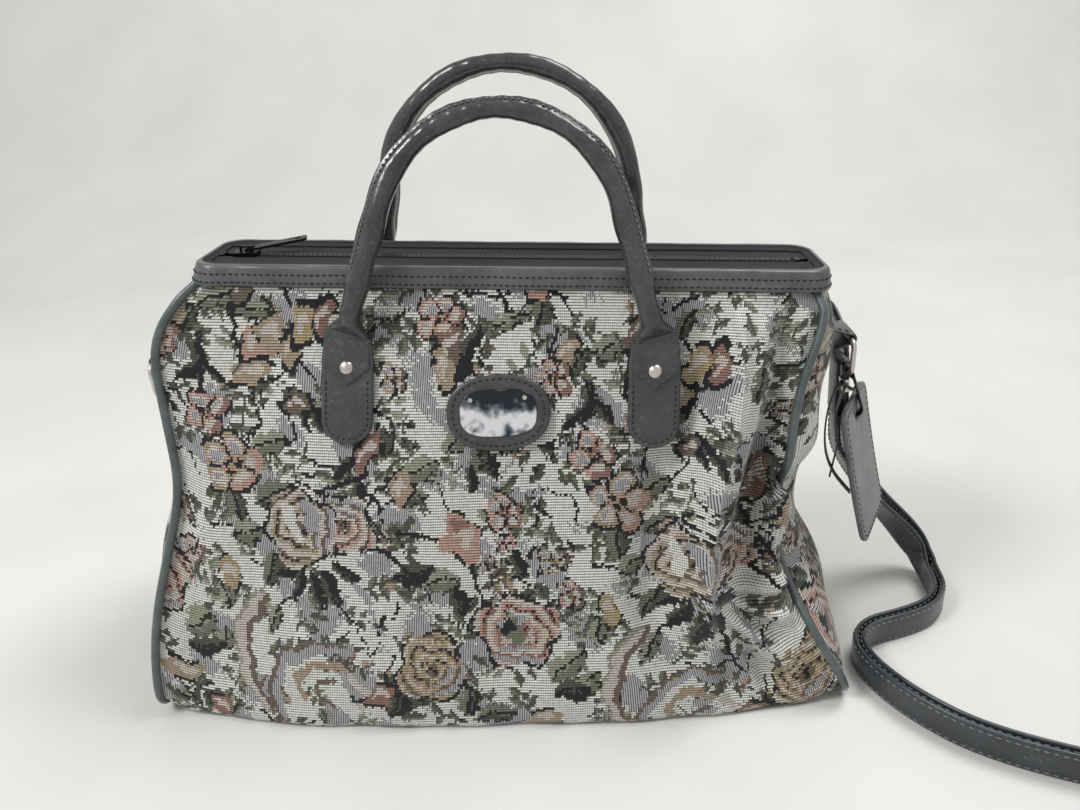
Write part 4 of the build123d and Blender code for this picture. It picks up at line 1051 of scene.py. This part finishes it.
def handle(tabs, lean, leg, height, inward, body, node):
    """One strip of vinyl: a pointed tongue on each tab, a flare, a leg, and a round crown between the legs.

    Each cross-section is a superellipse. Its half width, half thickness and squareness follow the distance
    from the fold. The handle leans inward by lean degrees, and its legs lean together by leg degrees."""
    ends = [t[0] + t[3] * 0.0024 for t in tabs]
    if inward < 0:
        tabs, ends = tabs[::-1], ends[::-1]
    way = unit(ends[1] - ends[0])
    half = np.linalg.norm(ends[1] - ends[0]) / 2
    upright = np.array((0.0, inward * np.sin(np.radians(lean)), np.cos(np.radians(lean))))
    rise = unit(upright - way * (upright @ way))
    face = np.cross(way, rise) * inward
    centre = (ends[0] + ends[1]) / 2
    tilt = np.radians(leg)
    bend = (half * np.cos(tilt) - height * np.sin(tilt)) / (1 - np.sin(tilt))
    leg_top = height - bend + bend * np.sin(tilt)
    d = np.concatenate([np.linspace(-tongue_long, -0.001, 22), np.linspace(0.0, leg_top, 74)[:-1]])
    leg_x = half - np.maximum(d, 0) * np.tan(tilt)
    turn = np.linspace(tilt, np.pi - tilt, 110)
    arc = np.stack([bend * np.cos(turn), height - bend + bend * np.sin(turn)], -1)
    flat = np.concatenate([np.stack([leg_x, np.maximum(d, 0)], -1), arc,
                           np.stack([-leg_x, np.maximum(d, 0)], -1)[::-1]])
    below = np.concatenate([d, np.full(len(arc), leg_top), d[::-1]])
    crown = np.concatenate([np.zeros(len(d)), np.sin(np.linspace(0, np.pi, len(arc))), np.zeros(len(d))])
    lift = grip_off * smooth(0.001, 0.017, below)
    path = centre + flat[:, :1] * way + flat[:, 1:] * rise + lift[:, None] * face
    tongue = below < 0
    out = np.broadcast_to(face, path.shape).copy()
    for k, sign in ((1, 1), (0, -1)):
        on = tongue & (flat[:, 0] * sign > 0)
        path[on] = tabs[k][0] + tabs[k][2] * below[on, None] + tabs[k][3] * 0.0029
        out[on] = tabs[k][3]
    run = along(path)[0]
    out = unit(out - run * (out * run).sum(-1, keepdims=True))
    side = np.cross(run, out)
    flare = smooth(0.000, flare_long, below)
    wide = root_half * (1 - flare) + grip_half * flare - 0.0010 * crown
    wide = wide * np.where(tongue, np.clip((below + 0.0272) / 0.0095, 0.03, 1), 1.0)
    thick = np.where(tongue, tongue_thick, root_thick * (1 - flare) + grip_thick * flare) - 0.0009 * crown
    pinch = bell(below - 0.0015, 0.0022)
    thick = thick * (1 - 0.35 * pinch * ~tongue)
    angle = turns(60)
    u, w = superellipse(angle[None], (2 + 2.6 * (1 - flare))[:, None])
    ca, sa = np.cos(angle)[None], np.sin(angle)[None]
    seam_angle, row_angle = 0.35, 0.57
    from_seam = np.angle(np.exp(1j * (angle - seam_angle)))
    fin = 0.0017 * bell(from_seam, 0.13)[None] * smooth(0.026, 0.040, below)[:, None]
    step = np.arange(len(below))
    wrinkle = (0.0003 * crown * np.sin(step * 1.15))[:, None] * (0.4 + 0.6 * np.abs(sa))
    dent = 0.0004 * np.sin(step * 0.23 + 1.0)[:, None] * np.cos(angle * 2)[None] * flare[:, None]
    grow = fin + wrinkle + dent
    u = u * wide[:, None] + grow * ca
    w = w * thick[:, None] + grow * sa
    shell = Shell().tube(path[:, None] + u[..., None] * side[:, None] + w[..., None] * out[:, None])
    held = below > 0.036
    row_side, row_out = np.cos(row_angle), np.sin(row_angle)
    row = path + (wide * row_side + 0.0005)[:, None] * side + (thick * row_out + 0.0004)[:, None] * out
    shell.sew(row[held], (row_side * side + row_out * out)[held], 0.0034, 0.0021, 0.00035)
    made = shell.piece(body + "_strip", [vinyl_grip, pale_thread], "vinyl", None, (node,))
    tuple(centre - rise * 0.004)
    tuple(centre + rise * 0.008)
    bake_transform(made)


handle(front_tabs, 16.0, 16.5, 0.124, 1, "front_grip", "front_handle")
handle(back_tabs, 7.0, 9.0, 0.139, -1, "back_grip", "back_handle")


# Oval patch and bare plate
patch = frame_of((13.009, -62.222, 190.111), (0.9995, 0.0312, 0.0), (-0.0115, 0.3685, 0.9296))


def oval(place, half_x, half_y, power, shares, heights):
    """Rings of a superellipse, each at a share of its size and its own height, from rim to middle."""
    x, y = superellipse(turns(96), power)
    r = np.array(shares)[:, None]
    high = np.broadcast_to(np.array(heights)[:, None], (len(shares), 96))
    return set_in(place, np.stack([x * half_x * r, y * half_y * r, high], -1))


def oval_plate(*form):
    """A shell over an oval's rings, closed at its middle and its back."""
    rings = oval(patch, *form)
    return Shell().grid(rings, round_v=True, flip=True).fan(rings[-1]).fan(rings[0], True)


patch_form = (0.0298, 0.0218, 2.3)
patch_shell = oval_plate(*patch_form, (1.0, 1.0, 0.985, 0.955, 0.91, 0.88, 0.85, 0.8, 0.5, 0.2),
                         np.array((-2.4, 0.6, 1.4, 1.8, 1.75, 1.5, 1.75, 1.7, 1.4, 1.4)) / 1000)
ring = oval(patch, *patch_form, (0.88,), (0.00165,))[0]
patch_shell.sew(np.vstack([ring, ring[:1]]), patch[3], 0.0036, 0.0022, 0.0004)
patch_shell.piece("oval_patch", [vinyl, dark_thread], "vinyl", "bag", ("badge_patch",))
plate_shell = oval_plate(0.022, 0.0135, 3.0, (1.0, 1.0, 0.975, 0.94, 0.90, 0.87, 0.84, 0.5, 0.15),
                         np.array((1.3, 2.3, 2.7, 2.75, 2.6, 2.2, 2.05, 2.1, 2.15)) / 1000)
plate_shell.piece("bare_plate", [chrome], "nickel", "bag", ("badge_plate",))


# Shoulder strap: its route from the right ring round to the left ring, and the way its width lies there
strap_route = np.array((
    (224.0, 3.6, 152.6), (224.0, 3.6, 139.6), (231.0, 14.0, 116.0), (266.0, 34.0, 66.0),
    (300.0, 38.0, 26.0), (306.4, 27.2, 10.0), (305.2, 14.3, 10.0), (303.4, -4.9, 10.0),
    (290.3, -21.8, 10.0), (269.0, -31.4, 10.0), (242.5, -39.6, 10.0), (229.3, -57.5, 10.0),
    (233.4, -83.0, 10.0), (249.8, -110.7, 10.0), (276.5, -137.3, 10.0), (323.0, -158.6, 10.0),
    (353.4, -165.7, 10.0), (382.0, -160.0, 10.0), (386.0, -138.0, 10.0), (364.0, -132.0, 10.0),
    (354.6, -160.3, 10.0), (325.0, -153.4, 10.0), (279.5, -132.7, 10.0), (254.2, -107.3, 10.0),
    (238.6, -81.0, 10.0), (234.7, -58.5, 10.0), (245.5, -44.4, 10.0), (271.0, -36.6, 10.0),
    (293.7, -26.2, 10.0), (308.6, -7.1, 10.0), (310.8, 13.7, 10.0), (312.2, 26.6, 10.0),
    (303.0, 43.1, 27.6), (269.8, 37.2, 69.7), (236.4, 15.0, 119.0), (232.0, 12.0, 146.0),
    (229.9, 10.6, 158.8), (231.0, 20.0, 190.0), (228.0, 46.0, 205.0), (210.0, 61.0, 206.0),
    (150.0, 64.0, 203.0), (30.0, 72.0, 188.0), (-90.0, 78.0, 168.0), (-162.0, 80.0, 150.0),
    (-210.0, 75.0, 138.0), (-212.0, 42.0, 122.0), (-209.0, 12.0, 116.0), (-206.5, 0.0, 142.8),
    (-206.5, 0.0, 155.8))) / 1000
level, tall = y_way, -z_way
slants = [level * (1 - k) + tall * k for k in (0.25, 0.45, 0.75)]
strap_ways = np.array([level, level] + slants + [tall] * 27 + slants[::-1] + [level, level, level + tall]
                      + [tall] * 9 + [tall - level, -level])


def spline_of(points, name):
    """A NURBS curve with these control points, read back as the points that it passes through."""
    curve = bpy.data.curves.new(name, "CURVE")
    curve.dimensions = "3D"
    curve.resolution_u = 14
    spline = curve.splines.new("NURBS")
    spline.points.add(len(points) - 1)
    weighted = np.hstack([points, np.ones((len(points), 1))])
    spline.points.foreach_set("co", weighted.astype(np.float32).ravel())
    spline.order_u = 3
    spline.use_endpoint_u = True
    holder = placed(name, curve)
    bpy.context.view_layer.update()
    mesh = bpy.data.meshes.new_from_object(holder)
    read = np.zeros(len(mesh.vertices) * 3, np.float32)
    mesh.vertices.foreach_get("co", read)
    bpy.data.objects.remove(holder)
    bpy.data.meshes.remove(mesh)
    return read.reshape(-1, 3).astype(float)


def ribbon(path, ways, wide, thick, sides):
    """A flat strap: a squarish superellipse carried along a path, its width lying along ways."""
    run = along(path)[0]
    side = unit(ways - run * (ways * run).sum(-1, keepdims=True))
    over = np.cross(side, run)
    turn = turns(sides)
    u = superellipse(turn, 6.0)[0] * wide / 2
    w = superellipse(turn, 3.0)[1] * thick / 2
    return path[:, None] + u[None, :, None] * side[:, None] + w[None, :, None] * over[:, None], side, over


strap_path = spline_of(strap_route, "strap_route")
last = len(strap_route) - 1
place = np.clip(np.linspace(0, 1, len(strap_path)) * (last - 1) + 0.5, 0, last)
place[0], place[-1] = 0, last
ways = carried(place, np.arange(last + 1), strap_ways)
rings, strap_side, strap_over = ribbon(strap_path, ways, strap_wide, strap_thick, 20)
strap_shell = Shell().tube(rings)
for share in (-0.74, 0.74):
    for face in (-1, 1):
        row = strap_path + strap_side * share * strap_wide / 2 + strap_over * face * 0.00155
        strap_shell.sew(row, strap_over * face, 0.0046, 0.0031, 0.00035, 0.0001)
strap = strap_shell.piece("shoulder_strap", [vinyl_strap, pale_thread], "vinyl", "bag",
                          ("strap_floor", "strap_rise", "strap_outer", "strap_back"))
strap_length = float(along(strap_path)[1][-1])


# Loops that hold the rings, and the strap's sewn ends round the rings
def strip(shell, points, way, wide, thick, closed=False):
    """A flat strip whose middle follows points. A closed one joins its last section to its first."""
    path = np.vstack([points[-1:], points, points[:1]]) if closed else points
    rings = ribbon(path, np.broadcast_to(way, path.shape), wide, thick, 16)[0]
    return shell.grid(rings[1:-1], round_v=True, round_u=True) if closed else shell.tube(rings)


def hairpin(middle, facing, up, radius, feet, reach):
    """From one foot round half a circle about middle to the other foot, in the plane of facing and up."""
    turn = np.linspace(np.pi / 2, -np.pi / 2, 22)
    bend = middle + radius * (np.cos(turn)[:, None] * facing + np.sin(turn)[:, None] * up)
    leg = np.linspace(0, 1, 14)[:-1, None]
    top = middle - reach * facing + feet * up
    low = middle - reach * facing - feet * up
    return np.vstack([top * (1 - leg) + bend[0] * leg, bend, (low * (1 - leg) + bend[-1] * leg)[::-1]])


for side, bar, facing in (("left", (-206.491, 0.0, 210.149), (-0.9801, 0.0, 0.1985)),
                          ("right", (224.011, 0.0, 206.949), (0.999, 0.0, 0.0454))):
    bar, facing = np.array(bar) / 1000, unit(np.array(facing))
    up = np.array((-facing[2], 0.0, facing[0])) * np.sign(facing[0])
    path = hairpin(bar, facing, up, 0.0030, 0.0095, 0.0195)
    shell = strip(Shell(), path, y_way, 0.026, 0.0021)
    for edge in (-0.0104, 0.0104):
        shell.sew(path[2:14] + y_way * edge + up * 0.0011, up)
    shell.piece(side + "_loop_strip", [vinyl, dark_thread], "vinyl", "bag", (side + "_ring_loop",))
    hook = bar - z_way * 0.020 + y_way * (0.0036 if side == "right" else 0.0)
    down = -z_way
    path = hairpin(hook, z_way, x_way, 0.0031, 0.0018, 0.0340)
    shell = strip(Shell(), path, y_way, strap_wide, 0.0022)
    for edge in (-0.0074, 0.0074):
        shell.sew(path[1:14] + y_way * edge + x_way * 0.0011, x_way, 0.0046, 0.0031)
    eye = shell.piece(side + "_eye_strip", [vinyl_strap, pale_thread], "vinyl", None,
                      ("strap_%s_eye" % side,))
    side + "_link"
    tuple(hook + down * 0.031)
    tuple(hook + down * 0.006)
    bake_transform(eye)

# Luggage tag: a stitched card, its thin strap and the strap's loose ends
swing, yaw = np.radians(-14.0), np.radians(-30.0)
tilt = np.array(((np.cos(swing), 0.0, np.sin(swing)), (0.0, 1.0, 0.0),
                 (-np.sin(swing), 0.0, np.cos(swing))))
spin = np.array(((np.cos(yaw), -np.sin(yaw), 0.0), (np.sin(yaw), np.cos(yaw), 0.0), (0.0, 0.0, 1.0)))
tag_hook = np.array((0.224011, -0.0114, 0.186949))
tag_low = 0.0312


def on_tag(local):
    """Points given in the tag's own frame, hung from the ring."""
    return tag_hook + local @ spin.T @ tilt.T


def round_box(angle, half_y, low, high, corner_size):
    """How far a ray from the origin runs, at each angle, before it leaves a box with rounded corners."""
    c, s = np.cos(angle), np.sin(angle)
    far = np.linspace(0, 0.13, 2600)[None]
    y, z = far * c[:, None], far * s[:, None]
    mid_z, half_z = (high + low) / 2, (high - low) / 2
    qy = np.abs(y) - half_y + corner_size
    qz = np.abs(z - mid_z) - half_z + corner_size
    gap = np.hypot(np.maximum(qy, 0), np.maximum(qz, 0)) + np.minimum(np.maximum(qy, qz), 0) - corner_size
    return far[0][np.argmax(gap > 0, 1)]


def tag_bend(z):
    """The card's slight bend, a sine wave up its face."""
    return 0.0012 * np.sin(z * 30)


def tag_card():
    """Rings from the slot out over the face, round the edge and back over the other face to the slot."""
    angle = np.unique(np.concatenate([np.linspace(-np.pi, np.pi, 120, endpoint=False),
                                      -np.pi / 2 + np.linspace(-0.5, 0.5, 60)]))
    rim = round_box(angle, 0.026, -0.0838, 0.0122, 0.008)
    hole = round_box(angle, 0.0052, -0.0024, 0.0024, 0.0018)
    inset = np.array((0.0, 0.04, 0.35, 0.7, 0.93, 0.955, 0.975, 0.99, 1.0))
    out = np.array((1.0, 1.6, 1.75, 1.75, 1.7, 1.45, 1.65, 1.5, 0.9)) / 1000
    share = np.concatenate([inset, inset[::-1]])
    x = np.concatenate([out, -out[::-1]])
    r = hole[None] + (rim - hole)[None] * share[:, None]
    y, z = r * np.cos(angle)[None], r * np.sin(angle)[None]
    local = np.stack([x[:, None] + tag_bend(z), y, z - tag_low], -1)
    shell = Shell().grid(on_tag(local), round_v=True, round_u=True)
    around = np.linspace(-np.pi, np.pi, 400)
    line = round_box(around, 0.0232, -0.0810, 0.0094, 0.006)
    y, z = line * np.cos(around), line * np.sin(around)
    for face in (-1.0, 1.0):
        row = on_tag(np.stack([face * 0.0015 + tag_bend(z), y, z - tag_low], -1))
        shell.sew(row, tilt @ spin @ (x_way * face), 0.0042, 0.0027, 0.0004)
    shell.piece("tag_card", [vinyl_tag, dark_thread], "vinyl", "tag", ("luggage_tag",))


tag_card()


def belt_turn(start, radius, drop, count):
    """Half a circle about a point that lies drop below the ring's hook."""
    turn = np.linspace(start, start + np.pi, count)
    return np.stack([radius * np.cos(turn), 0 * turn, radius * np.sin(turn) - drop], -1)


belt = np.vstack([belt_turn(0, 0.0025, 0.0, 14), belt_turn(np.pi, 0.0046, 0.028, 20)])
thin_strap = strip(Shell(), tag_hook + belt @ tilt.T, y_way, 0.005, 0.0012, closed=True)
for wide, route in (
        (0.0042, ((-2, -1, -7), (-8, -8, -4), (-16, -15, -9), (-23, -20, -23), (-26, -21, -40),
                  (-24, -22, -54), (-20, -22, -64), (-16, -22, -72))),
        (0.0042, ((-2, -2, -8), (-9, -9, -13), (-16, -17, -22), (-17, -20, -36), (-22, -21, -48),
                  (-26, -21, -58))),
        (0.0036, ((-5, -3, -2), (-3, -5, -9), (1, -4, -13), (4, -1, -10), (2, 2, -5), (-3, 1, -3)))):
    points = spline_of(tag_hook + np.array(route) / 1000 @ tilt.T, "loose_end")
    strip(thin_strap, resampled(points, 50), (0.3, 0.9, 0.1), wide, 0.0011)
thin_strap.piece("tag_thin_strap", [black_vinyl], "vinyl", "tag", ("tag_strap",))

# Finishes of the solids that show as they are
for stuff, nodes in ((tape_cloth, ("front_zip_tape", "back_zip_tape")),
                     (coil, ("front_zip_teeth", "back_zip_teeth")),
                     (black_metal, ("zip_stops", "zip_slider", "zip_pull")), (board_stuff, ("base_board",)),
                     (nickel, ("tab_rivets", "badge_pins", "left_ring", "right_ring", "tag_buckle"))):
    for node in nodes:
        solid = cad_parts[node]
        solid.data.materials.clear()
        solid.data.materials.append(stuff)

# Floor, light and camera
floor_material, floor_shade, floor_sockets = finish("pale_floor", Roughness=0.45)
speck = floor_shade.node("ShaderNodeTexNoise", None,
                         {"Scale": 6.0, "Detail": 3.0, "Vector": floor_shade.place()})
floor_tone = speck.toned((0.3, srgb(222, 221, 217)), (0.7, srgb(229, 228, 224)))
floor_shade.feed(floor_sockets["Base Color"], floor_tone)
sweep_from, sweep_radius, half_room = 0.9, 0.7, 5.0
sweep = np.linspace(0.1, 1, 16) * np.pi / 2
sweep_y = np.concatenate([[-half_room, sweep_from], sweep_from + sweep_radius * np.sin(sweep), [1.6]])
sweep_z = np.concatenate([[0.0, 0.0], sweep_radius - sweep_radius * np.cos(sweep), [4.0]])
backdrop = [(x, y, z) for y, z in zip(sweep_y, sweep_z) for x in (-half_room, half_room)]
corners = range(0, len(backdrop) - 2, 2)
floor_mesh = bpy.data.meshes.new("floor")
floor_mesh.from_pydata(backdrop, [], [(a, a + 1, a + 3, a + 2) for a in corners])
floor_mesh.polygons.foreach_set("use_smooth", np.ones(len(corners), bool))
floor_mesh.materials.append(floor_material)
floor = placed("floor", floor_mesh)

world = bpy.data.worlds.new("studio")
bpy.context.scene.world = world
world.use_nodes = True
sky = Shade(world.node_tree)
light = world.node_tree.nodes["Background"]
light.inputs["Color"].default_value = (0.96, 0.97, 0.98, 1.0)
light.inputs["Strength"].default_value = 0.42
pale = sky.node("ShaderNodeBackground", None, {"Color": (0.80, 0.80, 0.79, 1.0), "Strength": 1.0})
rays = sky.node("ShaderNodeLightPath")
seen = sky.sum("MAXIMUM", rays.output("Is Camera Ray"), rays.output("Is Glossy Ray"))
dim = Shade(world.node_tree, light.outputs[0])
mixed = sky.node("ShaderNodeMixShader", None, {0: seen, 1: dim, 2: pale})
sky.feed(world.node_tree.nodes["World Output"].inputs[0], mixed)


def stand(made, spot, right, upward):
    """Sets an object at a spot, with its own x along right and its own y along upward."""
    back = np.cross(right, upward)
    made.matrix_world = Matrix([[right[k], upward[k], back[k], spot[k]] for k in range(3)] + [[0, 0, 0, 1]])


def lamp(name, spot, aim, size, watts):
    """A round lamp at a spot, turned to shine at aim."""
    data = bpy.data.lights.new(name, "AREA")
    data.energy = watts
    data.shape = "DISK"
    data.size = size
    back = unit(np.array(spot) - np.array(aim))
    right = unit(np.cross(z_way, back))
    stand(placed(name, data), spot, right, np.cross(back, right))


lamp("key", (-1.25, -0.75, 1.75), (0.0, 0.0, 0.1), 0.7, 24.5)
lamp("back", (0.9, 0.35, 1.9), (0.05, 0.05, 0.1), 1.0, 20.0)

camera_data = bpy.data.cameras.new("camera")
camera_data.sensor_fit = "HORIZONTAL"
camera_data.sensor_width = 36.0
camera_data.lens = 28.05
camera = placed("camera", camera_data)
stand(camera, (0.0623, -0.4954, 0.3929), unit(np.array((0.9979, 0.0325, -0.0561))),
      unit(np.array((0.0374, 0.4188, 0.9073))))
bpy.context.scene.camera = camera
bpy.context.scene.view_settings.view_transform = "Standard"
